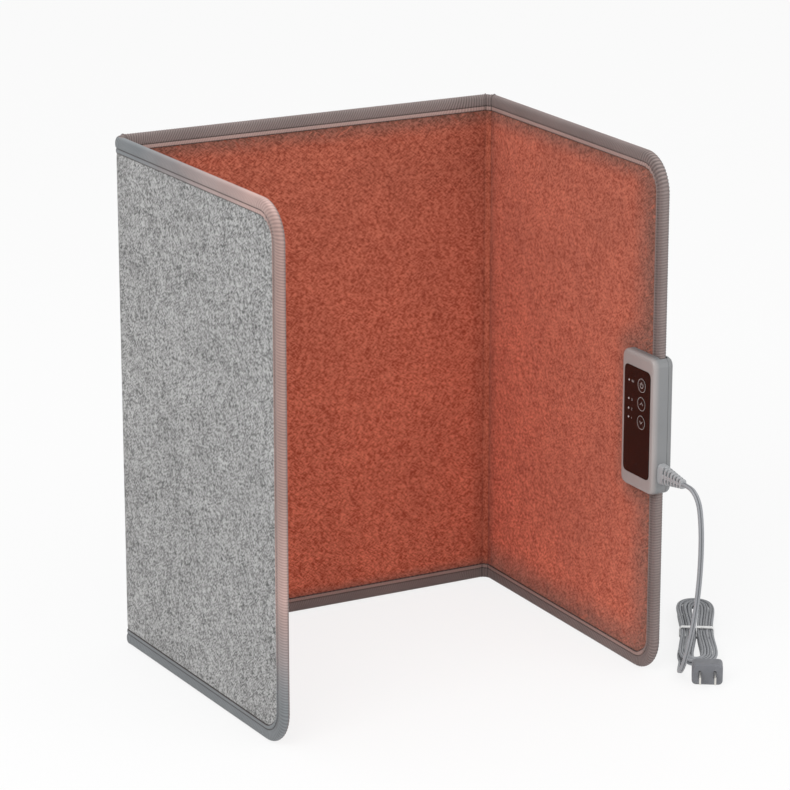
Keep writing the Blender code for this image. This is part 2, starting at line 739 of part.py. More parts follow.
def make_switches(owner):
    """Tactile switches under the keys, each a square body with a round plunger."""
    dark = material("switch", FILM_BLACK, 0.4)
    far = CIRCUIT_FRONT - CLEARANCE / 2
    near = far - SWITCH_BODY
    for name, (x, z) in zip(KEY_NAMES, key_places()):
        half = SWITCH_SIDE / 2
        body = box(name.replace("key", "switch"), (x - half, near, z - half),
                   (x + half, far, z + half), owner, dark)
        tip = STEM_END + KEY_TRAVEL + CLEARANCE / 2
        join(body, rod(name + "_plunger", (x, z), tip, near + SWITCH_BODY / 2, PLUNGER_RADIUS, owner))


def make_light_guide(owner):
    """A clear bar behind the front wall, with a peg through it for each indicator dot."""
    clear = material("light_guide", WHITE, 0.1)
    near = WALL_INSIDE + CLEARANCE / 2
    low = (DOT_X - GUIDE_WIDTH / 2, near, PLATE_TOP - DOT_DROPS[-1] - GUIDE_MARGIN)
    high = (DOT_X + GUIDE_WIDTH / 2, near + GUIDE_THICKNESS, PLATE_TOP - DOT_DROPS[0] + GUIDE_MARGIN)
    guide = box("light_guide", low, high, owner, clear)
    for i, place in enumerate(dot_places()):
        join(guide, rod(f"peg_{i}", place, PLATE_FRONT, near + GUIDE_THICKNESS / 2, DOT_RADIUS, owner))


def relief_ring(x, half):
    outline = rounded_rectangle(-half[0], half[0], -half[1], half[1], RELIEF_CORNER, ROUND_STEPS)
    return [(x, RELIEF_Y + y, RELIEF_Z + z) for y, z in outline]


def make_strain_relief(owner):
    """A ribbed, tapered grommet: a flange inside the wall, a neck, and ribs to the cord."""
    neck_in = BOX_HIGH_X - WALL - CLEARANCE
    neck_out = BOX_HIGH_X + CLEARANCE
    rings = [
        relief_ring(SIDE_WIDTH + 2 * CLEARANCE, RELIEF_FLANGE),
        relief_ring(neck_in, RELIEF_FLANGE),
        relief_ring(neck_in, RELIEF_NECK),
        relief_ring(neck_out, RELIEF_NECK),
        relief_ring(neck_out, RELIEF_BASE),
        relief_ring(neck_out + RELIEF_COLLAR, RELIEF_BASE),
    ]
    run = RELIEF_LENGTH - RELIEF_COLLAR
    step = run / RELIEF_RIBS
    for i in range(RELIEF_RIBS):
        start = i * step
        for along, groove in (
            (start, RIB_GROOVE),
            (start + step * (1 - RIB_SHARE), RIB_GROOVE),
            (start + step * (1 - RIB_SHARE), 0.0),
            (start + step, 0.0),
        ):
            part = along / run
            half = [b + (t - b) * part - groove for b, t in zip(RELIEF_BASE, RELIEF_TIP)]
            rings.append(relief_ring(neck_out + RELIEF_COLLAR + along, half))
    loft("strain_relief", rings, owner, material("relief", CORD_GREY, 0.5))


def hank_axes():
    """Unit vectors along the hank, towards its near end, and across it."""
    along = np.array([math.cos(HANK_HEADING), math.sin(HANK_HEADING), 0.0])
    return along, np.array([-along[1], along[0], 0.0])


def hank_line():
    """The hank's centreline: a spiral in, a climb along one run, and a spiral out.

    The innermost loop is a long oval with drawn-in sides. Every other loop runs beside
    it at an even distance, which grows steadily with the turns from the innermost one.
    The points crowd at the two ends, where the loop bends most.
    """
    turn = np.arange(-HANK_POINTS_IN, HANK_POINTS_OUT + 1) / HANK_POINTS
    angle = math.tau * turn
    angle = angle + HANK_CROWDING_SHARE * np.sin(2 * angle)
    sine, cosine = np.sin(angle), np.cos(angle)
    pitch = CORD_DIAMETER + HANK_GAP
    width = pitch / 4 + HANK_BULGE * sine**2
    place = np.stack([-HANK_HALF_LENGTH * sine, -cosine * width], axis=1)
    way = np.stack(
        [-HANK_HALF_LENGTH * cosine, sine * width - 2 * HANK_BULGE * sine * cosine**2], axis=1
    )
    way = way / np.linalg.norm(way, axis=1)[:, None]
    outward_way = np.stack([-way[:, 1], way[:, 0]], axis=1)
    place = place + outward_way * (np.abs(turn) * pitch)[:, None]
    climb = np.clip(2 * turn + 0.5, 0, 1)
    climb = climb * climb * (3 - 2 * climb)
    along_axis, across_axis = hank_axes()
    centre = np.array([*HANK_CENTRE, HANK_LOW])
    up = np.array([0.0, 0.0, CORD_DIAMETER + HANK_LAYER_GAP])
    return (
        centre
        + np.outer(place[:, 0], along_axis)
        + np.outer(place[:, 1], across_axis)
        + np.outer(climb, up)
    )


def least_self_gap(line, diameter):
    """The least gap between parts of a tube that lie more than a few diameters apart."""
    fine = resample(line, diameter / 4)
    step = np.linalg.norm(np.diff(fine, axis=0), axis=1).mean()
    skip = int(3 * diameter / step)
    least = math.inf
    for i in range(len(fine) - skip):
        far = np.linalg.norm(fine[i + skip:] - fine[i], axis=1)
        least = min(least, far.min())
    return least - diameter


def resample(line, step):
    """Points at even steps along a line."""
    line = np.asarray(line)
    run = np.concatenate([[0.0], np.cumsum(np.linalg.norm(np.diff(line, axis=0), axis=1))])
    places = np.linspace(0.0, run[-1], max(2, round(run[-1] / step) + 1))
    return np.stack([np.interp(places, run, line[:, k]) for k in range(3)], axis=1)


def smooth_route(route):
    """A smooth curve through the route's points, sampled finely (a Catmull-Rom curve)."""
    route = np.asarray(route)
    first = 2 * route[0] - route[1]
    last = 2 * route[-1] - route[-2]
    held = np.vstack([first, route, last])
    pieces = []
    for a, b, c, d in zip(held[:-3], held[1:-2], held[2:-1], held[3:]):
        t = np.linspace(0, 1, 24, endpoint=False)[:, None]
        pieces.append(
            0.5 * (2 * b + (c - a) * t + (2 * a - 5 * b + 4 * c - d) * t**2
                   + (3 * b - a - 3 * c + d) * t**3)
        )
    return np.vstack([*pieces, route[-1:]])


def tube(name, line, diameter, round_steps, owner, finish):
    """A round tube with closed ends along a line of points."""
    curve = bpy.data.curves.new(name, "CURVE")
    curve.dimensions = "3D"
    curve.bevel_depth = diameter / 2
    curve.bevel_resolution = round_steps
    curve.use_fill_caps = True
    spline = curve.splines.new("POLY")
    spline.points.add(len(line) - 1)
    for point, place in zip(spline.points, line):
        point.co = (*place, 1.0)
    return add_object(name, curve, owner, finish)


def unit(vector):
    return np.asarray(vector) / np.linalg.norm(vector)


def plug_face():
    """The middle of the plug's face, ahead of the hank's near end and to one side."""
    along, across = hank_axes()
    foot = np.array([*HANK_CENTRE, PLUG_HEIGHT / 2])
    return foot + PLUG_AHEAD * along + PLUG_ASIDE * across


def make_cord(owner):
    """The cord from the strain relief to the hank, the hank, and the tail to the plug."""
    grey = material("cord", CORD_GREY, 0.5)
    hank = hank_line()
    start_way = unit(hank[1] - hank[0])
    end_way = unit(hank[-1] - hank[-2])
    exit_point = np.array([RELIEF_EXIT_X + CLEARANCE, RELIEF_Y, RELIEF_Z])
    straight = np.array([CORD_DIAMETER, 0, 0])
    into = hank[0] - CLEARANCE * start_way
    route = [exit_point, exit_point + straight, *CORD_ROUTE, into - 2 * CORD_DIAMETER * start_way, into]
    cord_line = resample(smooth_route(route), CORD_STEP)
    tube("supply_cord", cord_line, CORD_DIAMETER, CORD_ROUND_STEPS, owner, grey)
    tube("cord_hank", hank, CORD_DIAMETER, HANK_ROUND_STEPS, owner, grey)
    along, across = hank_axes()
    out = hank[-1] + CLEARANCE * end_way
    neck = plug_face() - (PLUG_LENGTH + CLEARANCE) * along
    tail = [out, out + CORD_DIAMETER * end_way, neck - CORD_DIAMETER * along, neck]
    tail_line = resample(smooth_route(tail), CORD_DIAMETER)
    tube("cord_tail", tail_line, CORD_DIAMETER, CORD_ROUND_STEPS, owner, grey)
    print(f"least gap of the hank to itself {1000 * least_self_gap(hank, CORD_DIAMETER):.2f} mm")
    lengths = [np.linalg.norm(np.diff(line, axis=0), axis=1).sum() for line in (cord_line, hank, tail_line)]
    print("cord lengths, m:", [round(float(length), 4) for length in lengths])
    make_tie(owner, hank)


def make_tie(owner, hank):
    """A white band round the loops at the waist."""
    along, across = hank_axes()
    centre = np.array([*HANK_CENTRE, 0.0])
    fine = resample(hank, CORD_DIAMETER / 4)
    held = fine[np.abs((fine - centre) @ along) < TIE_WIDTH]
    place = (held - centre) @ across
    room = CORD_DIAMETER / 2 + TIE_CLEARANCE
    low, high = place.min() - room, place.max() + room
    top = held[:, 2].max() + room
    rings = []
    corner = CORD_DIAMETER / 2
    inner = rounded_rectangle(low, high, TIE_THICKNESS, top, corner, TIE_STEPS)
    outer = rounded_rectangle(low - TIE_THICKNESS, high + TIE_THICKNESS, 0.0, top + TIE_THICKNESS,
                              corner + TIE_THICKNESS, TIE_STEPS)
    for outline, reach in ((outer, -1), (outer, 1), (inner, 1), (inner, -1)):
        shift = centre + along * reach * TIE_WIDTH / 2
        rings.append([shift + across * v + np.array([0, 0, w]) for v, w in outline])
    count = len(outer)
    points = [tuple(point) for ring in rings for point in ring]
    faces = []
    for k in range(len(rings)):
        for i in range(count):
            j = (i + 1) % count
            m = (k + 1) % len(rings)
            faces.append((k * count + j, k * count + i, m * count + i, m * count + j))
    mesh = bpy.data.meshes.new("hank_tie")
    mesh.from_pydata(points, [], faces)
    add_object("hank_tie", outward(mesh), owner, material("tie", WHITE, 0.4))


def make_plug(owner):
    """The moulded plug with its neck towards the cord, and its two flat blades."""
    along, across = hank_axes()
    face = plug_face()
    up = np.array([0.0, 0.0, 1.0])
    steps = (
        (PLUG_LENGTH, PLUG_NECK_WIDTH, PLUG_NECK_HEIGHT),
        (PLUG_LENGTH - PLUG_NECK_LENGTH, PLUG_NECK_WIDTH, PLUG_NECK_HEIGHT),
        (PLUG_LENGTH - PLUG_NECK_LENGTH - PLUG_FLARE, PLUG_WIDTH, PLUG_HEIGHT),
        (PLUG_ROUND, PLUG_WIDTH, PLUG_HEIGHT),
        (0.0, PLUG_WIDTH - 2 * PLUG_ROUND, PLUG_HEIGHT - 2 * PLUG_ROUND),
    )
    rings = []
    for back, width, height in steps:
        corner = PLUG_CORNER * height / PLUG_HEIGHT
        outline = rounded_rectangle(-width / 2, width / 2, -height / 2, height / 2, corner, ROUND_STEPS)
        rings.append([face - along * back + across * v + up * w for v, w in outline])
    body = loft("plug_body", rings, owner, material("plug", PLUG_GREY, 0.4), smooth=True)
    for i, side in enumerate((-1, 1)):
        centre = face + across * side * BLADE_SPACING / 2
        cut(body, blade(f"blade_slot_{i}", centre, BLADE_IN, CUT_OVERRUN, CLEARANCE, owner, None))
        blade(f"plug_blade_{i + 1}", centre, BLADE_IN - CLEARANCE, BLADE_OUT, 0.0, owner,
              material("blade", STEEL, 0.25, 1.0))


def blade(name, centre, inside, outside, play, owner, finish):
    """A flat blade, or its slot, through a point of the plug's face."""
    along, across = hank_axes()
    up = np.array([0.0, 0.0, 1.0])
    half_v, half_w = BLADE_THICKNESS / 2 + play, BLADE_WIDTH / 2 + play
    corners = ((-half_v, -half_w), (half_v, -half_w), (half_v, half_w), (-half_v, half_w))
    rings = [
        [centre + along * reach + across * v + up * w for v, w in corners]
        for reach in (-inside, outside)
    ]
    return loft(name, rings, owner, finish)


def fold_frames():
    """Where each leaf's frame lies before the whole is centred: (place, turn) by name.

    The chain starts at the right panel's crease and goes on through the creases.
    """
    def step(place, turn, width):
        return place - width * Vector((math.cos(turn), math.sin(turn), 0))

    frames = {}
    turn = -RIGHT_FOLD
    place = Vector((0, 0, 0))
    frames["right"] = (place, turn)
    turn += RIGHT_FOLD / 2
    frames["right_fold"] = (place, turn)
    place = step(place, turn, FOLD_WIDTH)
    turn += RIGHT_FOLD / 2
    frames["centre"] = (place, turn)
    place = step(place, turn, CENTRE_WIDTH)
    turn += LEFT_FOLD / 2
    frames["left_fold"] = (place, turn)
    place = step(place, turn, FOLD_WIDTH)
    turn += LEFT_FOLD / 2
    frames["left"] = (place, turn)
    return frames


def centring(frames):
    """The shift that puts the origin below the middle of the standing panels."""
    def corners(name, low, high):
        place, turn = frames[name]
        matrix = Matrix.Translation(place) @ Matrix.Rotation(turn, 4, "Z")
        return [matrix @ Vector((x, y, 0)) for x in (low, high) for y in (-OUTER_FACE, OUTER_FACE)]

    points = corners("left", -SIDE_WIDTH, -FOLD_GAP / 2)
    points += corners("centre", -CENTRE_WIDTH, 0)
    place, turn = frames["right"]
    matrix = Matrix.Translation(place) @ Matrix.Rotation(turn, 4, "Z")
    points += [matrix @ Vector((x, BOX_REAR, 0)) for x in (BOX_LOW_X, BOX_HIGH_X)]
    xs = [p.x for p in points]
    ys = [p.y for p in points]
    return Vector((-(min(xs) + max(xs)) / 2, -(min(ys) + max(ys)) / 2, 0))


def make_bodies():
    """Empties on the creases, chained from the right panel, and each one's leaf."""
    frames = fold_frames()
    shift = centring(frames)
    right = axis_empty("right_panel_crease", None, frames["right"][0] + shift, frames["right"][1])
    right_fold = axis_empty("right_fold_crease", right, (0, 0, 0), RIGHT_FOLD / 2)
    centre = axis_empty("centre_right_crease", right_fold, (-FOLD_WIDTH, 0, 0), RIGHT_FOLD / 2)
    left_fold = axis_empty("left_fold_crease", centre, (-CENTRE_WIDTH, 0, 0), LEFT_FOLD / 2)
    left = axis_empty("left_panel_crease", left_fold, (-FOLD_WIDTH, 0, 0), LEFT_FOLD / 2)
    return {
        "right": Leaf(right, 0, SIDE_WIDTH, False, True),
        "right_fold": Leaf(right_fold, -FOLD_WIDTH, 0, False, False),
        "centre": Leaf(centre, -CENTRE_WIDTH, 0, False, False),
        "left_fold": Leaf(left_fold, -FOLD_WIDTH, 0, False, False),
        "left": Leaf(left, -SIDE_WIDTH, 0, True, False),
    }


def main():
    clear_scene()
    leaves = make_bodies()
    parts = {}
    for prefix in ("right", "centre", "left"):
        make_panel(prefix, leaves[prefix], parts)
    tape = material("binding_tape", TAPE_GREY, 0.8)
    binding_round("right_binding", leaves["right"], tape)
    binding_round("left_binding", leaves["left"], tape)
    make_straight_bindings("centre", leaves["centre"])
    make_fold("right_fold", leaves["right_fold"])
    make_fold("left_fold", leaves["left_fold"])
    make_leads(leaves)
    owner = leaves["right"].owner
    cut_felts({name: parts[name] for name in ("right_outer_felt", "right_inner_felt")}, owner)
    make_front_shell(owner)
    make_rear_cover(owner)
    make_screws(owner)
    make_key_plate(owner)
    make_keys(owner)
    make_circuit(owner)
    make_light_guide(owner)
    make_strain_relief(owner)
    make_cord(owner)
    make_plug(owner)


main()
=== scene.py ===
"""Under desk heater panel: three bound felt panels, a clamped control box and a flat cord."""
import math
from collections import namedtuple
import bmesh
import bpy
import numpy as np
from mathutils import Matrix


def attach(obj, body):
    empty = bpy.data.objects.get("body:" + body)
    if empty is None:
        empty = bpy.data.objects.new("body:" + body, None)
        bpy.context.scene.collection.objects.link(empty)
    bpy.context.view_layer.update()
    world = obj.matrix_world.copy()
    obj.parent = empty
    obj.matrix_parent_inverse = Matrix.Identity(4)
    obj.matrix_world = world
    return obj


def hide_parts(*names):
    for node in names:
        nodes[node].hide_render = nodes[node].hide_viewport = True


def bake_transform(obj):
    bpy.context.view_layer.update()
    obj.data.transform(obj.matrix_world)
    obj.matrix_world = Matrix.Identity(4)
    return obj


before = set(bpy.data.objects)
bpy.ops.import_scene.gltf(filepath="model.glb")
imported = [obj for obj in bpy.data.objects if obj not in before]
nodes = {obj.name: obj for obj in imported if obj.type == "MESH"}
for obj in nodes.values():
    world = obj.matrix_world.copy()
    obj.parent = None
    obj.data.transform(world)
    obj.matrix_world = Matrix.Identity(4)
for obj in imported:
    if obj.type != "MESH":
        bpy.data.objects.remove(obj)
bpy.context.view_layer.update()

# Panels, metres: the same sizes as the solids. A crease's own felt and tape reach along
# each panel by REACH, and a panel's felt begins UNDER_TAPE in from the panel's edge.
HEIGHT = 0.450
SIDE_WIDTH = 0.283
CENTRE_WIDTH = 0.348
CORNER = 0.032
FOLD = 0.0080
REACH = 0.006
UNDER_TAPE = 0.0078

# Control box on the right panel: where it begins along the panel, its foot and its top
BOX = (0.2375, 0.163, 0.281)

# The leaves are the three panels and the two fold strips: the crease that each turns
# about, its turn in degrees, where it begins and ends along its own x, and its body.
# A crease joins its first leaf to its second.
Leaf = namedtuple("Leaf", "hinge turn low high body")
Crease = namedtuple("Crease", "hinge first second")
R1 = (0.177601, 0.139147)
R2 = (0.171944, 0.144803)
L1 = (-0.176056, 0.144803)
L2 = (-0.181613, 0.139049)
LEAVES = {
    "right": Leaf(R1, -90.0, 0.0, SIDE_WIDTH, "right_panel"),
    "right_fold": Leaf(R1, -45.0, -FOLD, 0.0, "right_fold"),
    "centre": Leaf(R2, 0.0, -CENTRE_WIDTH, 0.0, "centre_panel"),
    "left_fold": Leaf(L1, 46.0, -FOLD, 0.0, "left_fold"),
    "left": Leaf(L2, 92.0, -SIDE_WIDTH, 0.0, "left_panel"),
}
CREASES = {
    "right_crease": Crease(R1, "right", "right_fold"),
    "centre_right_crease": Crease(R2, "right_fold", "centre"),
    "centre_left_crease": Crease(L1, "centre", "left_fold"),
    "left_crease": Crease(L2, "left_fold", "left"),
}

# Tape: half section as (distance in from the edge, height off the middle), millimetres
TAPE_HALF = np.array([
    (14.2, 2.30), (13.9, 3.00), (13.5, 3.38), (12.9, 3.52), (12.0, 3.58), (11.0, 3.52),
    (10.35, 3.30), (10.05, 2.92), (9.65, 2.92), (9.30, 3.30), (8.7, 3.68), (7.4, 3.95),
    (5.8, 4.02), (4.2, 3.92), (2.9, 3.62), (1.8, 3.05), (0.95, 2.30), (0.35, 1.35), (0.05, 0.50),
]) / 1000
TAPE_INSIDE = np.array([
    (13.6, -2.2), (9.0, -2.3), (3.0, -2.3), (1.2, 0.0), (3.0, 2.3), (9.0, 2.3), (13.6, 2.2),
]) / 1000

# Ribs: length along the tape, rows of points in that length, height, and how far a rib
# leans along the tape for each unit across it
RIB = 0.00235
RIB_ROWS = 5
RIB_RISE = 0.00021
LEAN = 0.55

# The tape's inner face loses the share FLATTER of what stands higher than FLAT_FROM, and
# its colour begins at the height -INNER_FROM off the middle
FLAT_FROM = 0.0034
FLATTER = 0.55
INNER_FROM = -0.0022

# The two rows of stitches: their distance in from the edge and their height
SEAM, SEAM_LEVEL = 0.00985, 0.00298
LIP_ROW, LIP_LEVEL = 0.0134, 0.00350
SECOND_LINE = 0.0074  # the uprights' second dark line
# A stitch: half its length, its radius, and the step from one to the next
STITCH_HALF = 0.00115
STITCH_THICK = 0.00021
STITCH_STEP = 0.0032


def place(leaf, x, y, z):
    """Points of a leaf's own frame in the part's frame: its crease + x along it + y outward."""
    ox, oy = LEAVES[leaf].hinge
    t = math.radians(LEAVES[leaf].turn)
    x, y, z = np.broadcast_arrays(x, y, z)
    return np.stack([ox + x * math.cos(t) - y * math.sin(t), oy + x * math.sin(t) + y * math.cos(t), z], -1)


def mesh_of(name, grids, material):
    """One object from several grids of points (rows, columns, 3), or stacks of such grids.

    Each grid is (points, closed across, capped). Neighbouring points make quads; closed
    across joins the last column to the first; capped closes the first and last rows.
    """
    points, faces, start = [], [], 0
    for grid, across, capped in grids:
        columns = grid.shape[-2]
        index = np.arange(grid.size // 3).reshape(grid.shape[:-1]) + start
        ring = np.concatenate([index, index[..., :1]], -1) if across else index
        here, beyond = ring[..., :-1, :], ring[..., 1:, :]
        quads = np.stack([here[..., :-1], here[..., 1:], beyond[..., 1:], beyond[..., :-1]], -1)
        faces += quads.reshape(-1, 4).tolist()
        if capped:
            faces += index[..., 0, ::-1].reshape(-1, columns).tolist()
            faces += index[..., -1, :].reshape(-1, columns).tolist()
        points.append(grid.reshape(-1, 3))
        start += grid.size // 3
    mesh = bpy.data.meshes.new(name)
    mesh.from_pydata(np.vstack(points).tolist(), [], faces)
    worked = bmesh.new()
    worked.from_mesh(mesh)
    bmesh.ops.recalc_face_normals(worked, faces=worked.faces)
    worked.to_mesh(mesh)
    worked.free()
    mesh.update()
    mesh.shade_smooth()
    mesh.set_sharp_from_angle(angle=math.radians(62))
    mesh.materials.append(material)
    piece = bpy.data.objects.new(name, mesh)
    bpy.context.scene.collection.objects.link(piece)
    return piece


def keep(piece, name, values):
    """Stores one number, or one vector, for each point of a piece, for its material."""
    values = np.ascontiguousarray(values, np.float32)
    vectors = values.size == 3 * len(piece.data.vertices)
    layer = piece.data.attributes.new(name, "FLOAT_VECTOR" if vectors else "FLOAT", "POINT")
    layer.data.foreach_set("vector" if vectors else "value", values.ravel())


def smooth(value, low, high):
    """0 below low, 1 above high, and 3t^2 - 2t^3 between them."""
    t = np.clip((value - low) / (high - low), 0, 1)
    return t * t * (3 - 2 * t)


# ---- Materials ----
# The dark of the seams; across the tape at the creases it is painted shade
SEAM_DARK = (0.030, 0.020, 0.018)
# where the control box's face goes from painted light to the painted shade of its body
PAINTED_LIGHT_SPAN = (0.1664, 0.1712)  # x from the control box's face to behind its rounded rim


class Wire:
    """A shader socket that takes part in Python sums."""

    def __init__(self, paint, socket):
        self.paint, self.socket = paint, socket

    def made(self, operation, a, b):
        return self.paint.node("ShaderNodeMath", {"operation": operation}, {0: a, 1: b})

    def __add__(self, other):
        return self.made("ADD", self, other)

    def __sub__(self, other):
        return self.made("SUBTRACT", self, other)

    def __rsub__(self, other):
        return self.made("SUBTRACT", other, self)

    def __mul__(self, other):
        return self.made("MULTIPLY", self, other)

    __radd__ = __add__


class Paint:
    """A material that is built from nodes."""

    def __init__(self, name):
        self.material = bpy.data.materials.new(name)
        self.material.use_nodes = True
        self.tree = self.material.node_tree
        self.shader = self.tree.nodes["Principled BSDF"]

    def node(self, kind, settings, sockets, out=0):
        """Adds a node: its settings first, then the values or links of its sockets."""
        made = self.tree.nodes.new(kind)
        for name, value in settings.items():
            setattr(made, name, value)
        for name, value in sockets.items():
            if isinstance(value, Wire):
                self.tree.links.new(value.socket, made.inputs[name])
            else:
                made.inputs[name].default_value = value
        return Wire(self, made.outputs[out])

    def coords(self):
        return self.node("ShaderNodeTexCoord", {}, {}, "Object")

    def noise(self, scale, detail=2.0, rough=0.5, distortion=0.0, where=None):
        """Noise in the part's own space, or on the points that where gives."""
        return self.node("ShaderNodeTexNoise", {}, {
            "Vector": where or self.coords(), "Scale": scale, "Detail": detail, "Roughness": rough,
            "Distortion": distortion,
        })

    def strands(self, scale, longer, turn, distortion=0.0):
        """Noise on the flat cloth, drawn longer along its height and then turned in its plane."""
        flat = self.node("ShaderNodeAttribute", {"attribute_name": "flat"}, {}, "Vector")
        where = self.node("ShaderNodeMapping", {"vector_type": "TEXTURE"},
                          {"Vector": flat, "Scale": (1.0, longer, 1.0), "Rotation": (0.0, 0.0, turn)})
        return self.noise(scale, 1.5, 0.6, distortion, where)

    def span(self, value, low, high, to_low=0.0, to_high=1.0):
        """Maps low..high to to_low..to_high, held at both ends."""
        return self.node("ShaderNodeMapRange", {"clamp": True}, {
            "Value": value, "From Min": low, "From Max": high, "To Min": to_low, "To Max": to_high,
        })

    def number(self, name):
        return self.node("ShaderNodeAttribute", {"attribute_name": name}, {}, "Fac")

    def mix(self, share, a, b, blend="MIX"):
        """Mixes two colours, each a link or (r, g, b)."""
        a, b = (v if isinstance(v, Wire) else (*v, 1.0) for v in (a, b))
        settings = {"data_type": "RGBA", "blend_type": blend}
        return self.node("ShaderNodeMix", settings, {0: share, 6: a, 7: b}, 2)

    def shade(self, colour, value):
        """A colour times a number."""
        grey = self.node("ShaderNodeCombineColor", {}, {0: value, 1: value, 2: value})
        return self.mix(1.0, colour, grey, "MULTIPLY")

    def bump(self, height, depth):
        """Relief of a height field, depth metres deep."""
        return self.node("ShaderNodeBump", {}, {"Height": height, "Distance": depth, "Strength": 0.6})

    def finish(self, **values):
        """Sets the shader's sockets, named with _ for a space, and gives the material."""
        for name, value in values.items():
            socket = self.shader.inputs[name.replace("_", " ")]
            if isinstance(value, Wire):
                self.tree.links.new(value.socket, socket)
            else:
                socket.default_value = (*value, 1.0) if isinstance(value, tuple) else value
        return self.material


def felt(name, dark, light, shaded_dark=None, shaded_light=None):
    """Heathered wool felt: short matted fibres that cross in the cloth's plane, stray hairs and lumps.

    With shaded colours, which are painted shade toward the bindings and the control box, the felt goes from
    them to its own where the painted warm light number is 1. It is then multiplied by one less the fold
    number: painted shade where that number is above 0 and painted light where it is below.
    """
    p = Paint(name)
    strands = p.strands(900.0, 4.6, 0.95, 0.12) + p.strands(940.0, 4.6, -0.90, 0.12)
    matted = strands * 0.38 + p.noise(1050.0, 2.0, 0.65, 0.3) * 0.26
    fleck = p.span(matted + p.noise(85.0, 3.0, 0.6) * 0.14, 0.505, 0.645)
    colour = p.mix(fleck, dark, light)
    if shaded_dark:
        rim = p.mix(fleck, shaded_dark, shaded_light)
        # painted shade: the felt falls to its shaded colours where the painted warm light number is low,
        # and the fold number paints shade and light
        painted_warm_light_and_shade = p.span(p.number("painted_warm_light_and_shade") + p.noise(60.0, 3.0, 0.6) * 0.4 - 0.2, 0.05, 0.95)
        colour = p.mix(painted_warm_light_and_shade, rim, colour)
        colour = p.shade(colour, 1.0 - p.number("fold"))
    hair = p.span(p.strands(430.0, 6.0, 0.75, 0.8), 0.62, 0.68)
    colour = p.mix(hair * 0.5, colour, dark)
    pale = p.span(p.strands(450.0, 6.0, -1.05, 0.8), 0.63, 0.69)
    colour = p.mix(pale * 0.4, colour, light)
    colour = p.shade(colour, p.span(p.noise(14.0, 3.0, 0.6), 0.3, 0.7, 0.90, 1.08))
    fuzz = p.noise(1900.0, 3.0, 0.7, 0.8)
    relief = p.bump(fuzz * 0.35 + fleck * 0.65, 0.0005)
    return p.finish(Base_Color=colour, Roughness=0.96, Normal=relief, Specular_IOR_Level=0.12,
                    Sheen_Weight=0.08, Sheen_Roughness=0.6)


def tape(name, plain, painted_warm_light_and_shade, painted_pink_light, painted_inner_glow, painted_lip_glow):
    """Ribbed binding tape: ribs with painted highlights on their crests and painted shade between them,
    dark seams, a lip and a fine weave.

    The outer side goes from plain grey to a warm colour, and on to a pink one where the painted warm light
    number is 2: a painted reflection of the red felt. The inner side, brown with a rosier lip, is a painted
    reflection of the red felt too.
    """
    p = Paint(name)
    # painted warm light on the outside, a painted reflection of the red felt
    glow = p.span(p.number("painted_warm_light_and_shade") + p.noise(35.0, 2.0) * 0.3 - 0.15, 0.05, 0.95)
    outside = p.mix(glow, plain, painted_warm_light_and_shade)
    outside = p.mix(p.span(p.number("painted_warm_light_and_shade"), 1.0, 2.0), outside, painted_pink_light)
    # the lip a little lighter, and a painted highlight along the rim, on both sides
    outside = p.shade(outside, 1.0 + p.number("lip") * 0.10 + p.number("rim") * 0.50)
    inside = p.mix(p.number("lip"), painted_inner_glow, painted_lip_glow)
    inside = p.shade(inside, 1.0 + p.number("rim") * 0.30)
    base = p.mix(p.number("inside"), outside, inside)
    # painted highlight on the ribs' crests and painted shade in their valleys, over the ribs of the mesh
    wave = p.node("ShaderNodeMath", {"operation": "COSINE"}, {0: p.number("phase")})
    rib = wave * p.number("rib")
    base = p.shade(base, p.span(rib * 0.5 + 0.25 + p.noise(1900.0, 2.0, 0.6) * 0.5, 0.0, 1.0, 0.50, 1.20))
    # dark seams, and painted shade at the creases
    base = p.mix(p.number("seam"), base, SEAM_DARK)
    base = p.shade(base, p.span(p.noise(22.0, 2.0), 0.3, 0.7, 0.92, 1.06))
    relief = p.bump(p.noise(3200.0, 2.0, 0.6), 0.00012)
    return p.finish(Base_Color=base, Roughness=0.66, Normal=relief, Specular_IOR_Level=0.25,
                    Sheen_Weight=0.08)


def stock(p, colour, rough, grain, depth, **more):
    """Finishes a moulded or pressed material: handling marks and a fine grain."""
    marks = p.span(p.noise(140.0, 4.0, 0.7), 0.35, 0.75, rough - 0.06, rough + 0.10)
    relief = p.bump(p.noise(grain, 3.0, 0.6), depth)
    return p.finish(Base_Color=colour, Roughness=marks, Normal=relief, **more)


def moulded(name, colour, rough, grain=1600.0, depth=0.00004, metallic=0.0, painted_shade="", dark=0.4):
    """Moulded or pressed stock: a fine grain, a slight tone drift and handling marks.

    Where a number that the piece keeps is named for painted shade, the colour falls to its dark share where
    that number is 1, painted shade in a groove or a slot.
    """
    p = Paint(name)
    tinted = p.shade(colour, p.span(p.noise(26.0, 3.0, 0.6), 0.3, 0.7, 0.94, 1.06))
    if painted_shade:
        tinted = p.shade(tinted, p.span(p.number(painted_shade), 0.0, 1.0, 1.0, dark))
    return stock(p, tinted, rough, grain, depth, Metallic=metallic)


def plastic_with_painted_light(name, face, body, rough):
    """The control box's plastic with painted light: its face paler and warmer, painted light and a painted
    reflection of the red felt, and its body behind the rounded rim darker, painted shade.
    """
    p = Paint(name)
    back = p.node("ShaderNodeSeparateXYZ", {}, {0: p.coords()}, 0)
    colour = p.mix(p.span(back, *PAINTED_LIGHT_SPAN), face, body)
    colour = p.shade(colour, p.span(p.noise(26.0, 3.0, 0.6), 0.3, 0.7, 0.95, 1.05))
    return stock(p, colour, rough, 1600.0, 0.00004)


OUTER = felt("outer_felt", (0.085, 0.085, 0.084), (0.448, 0.445, 0.441))
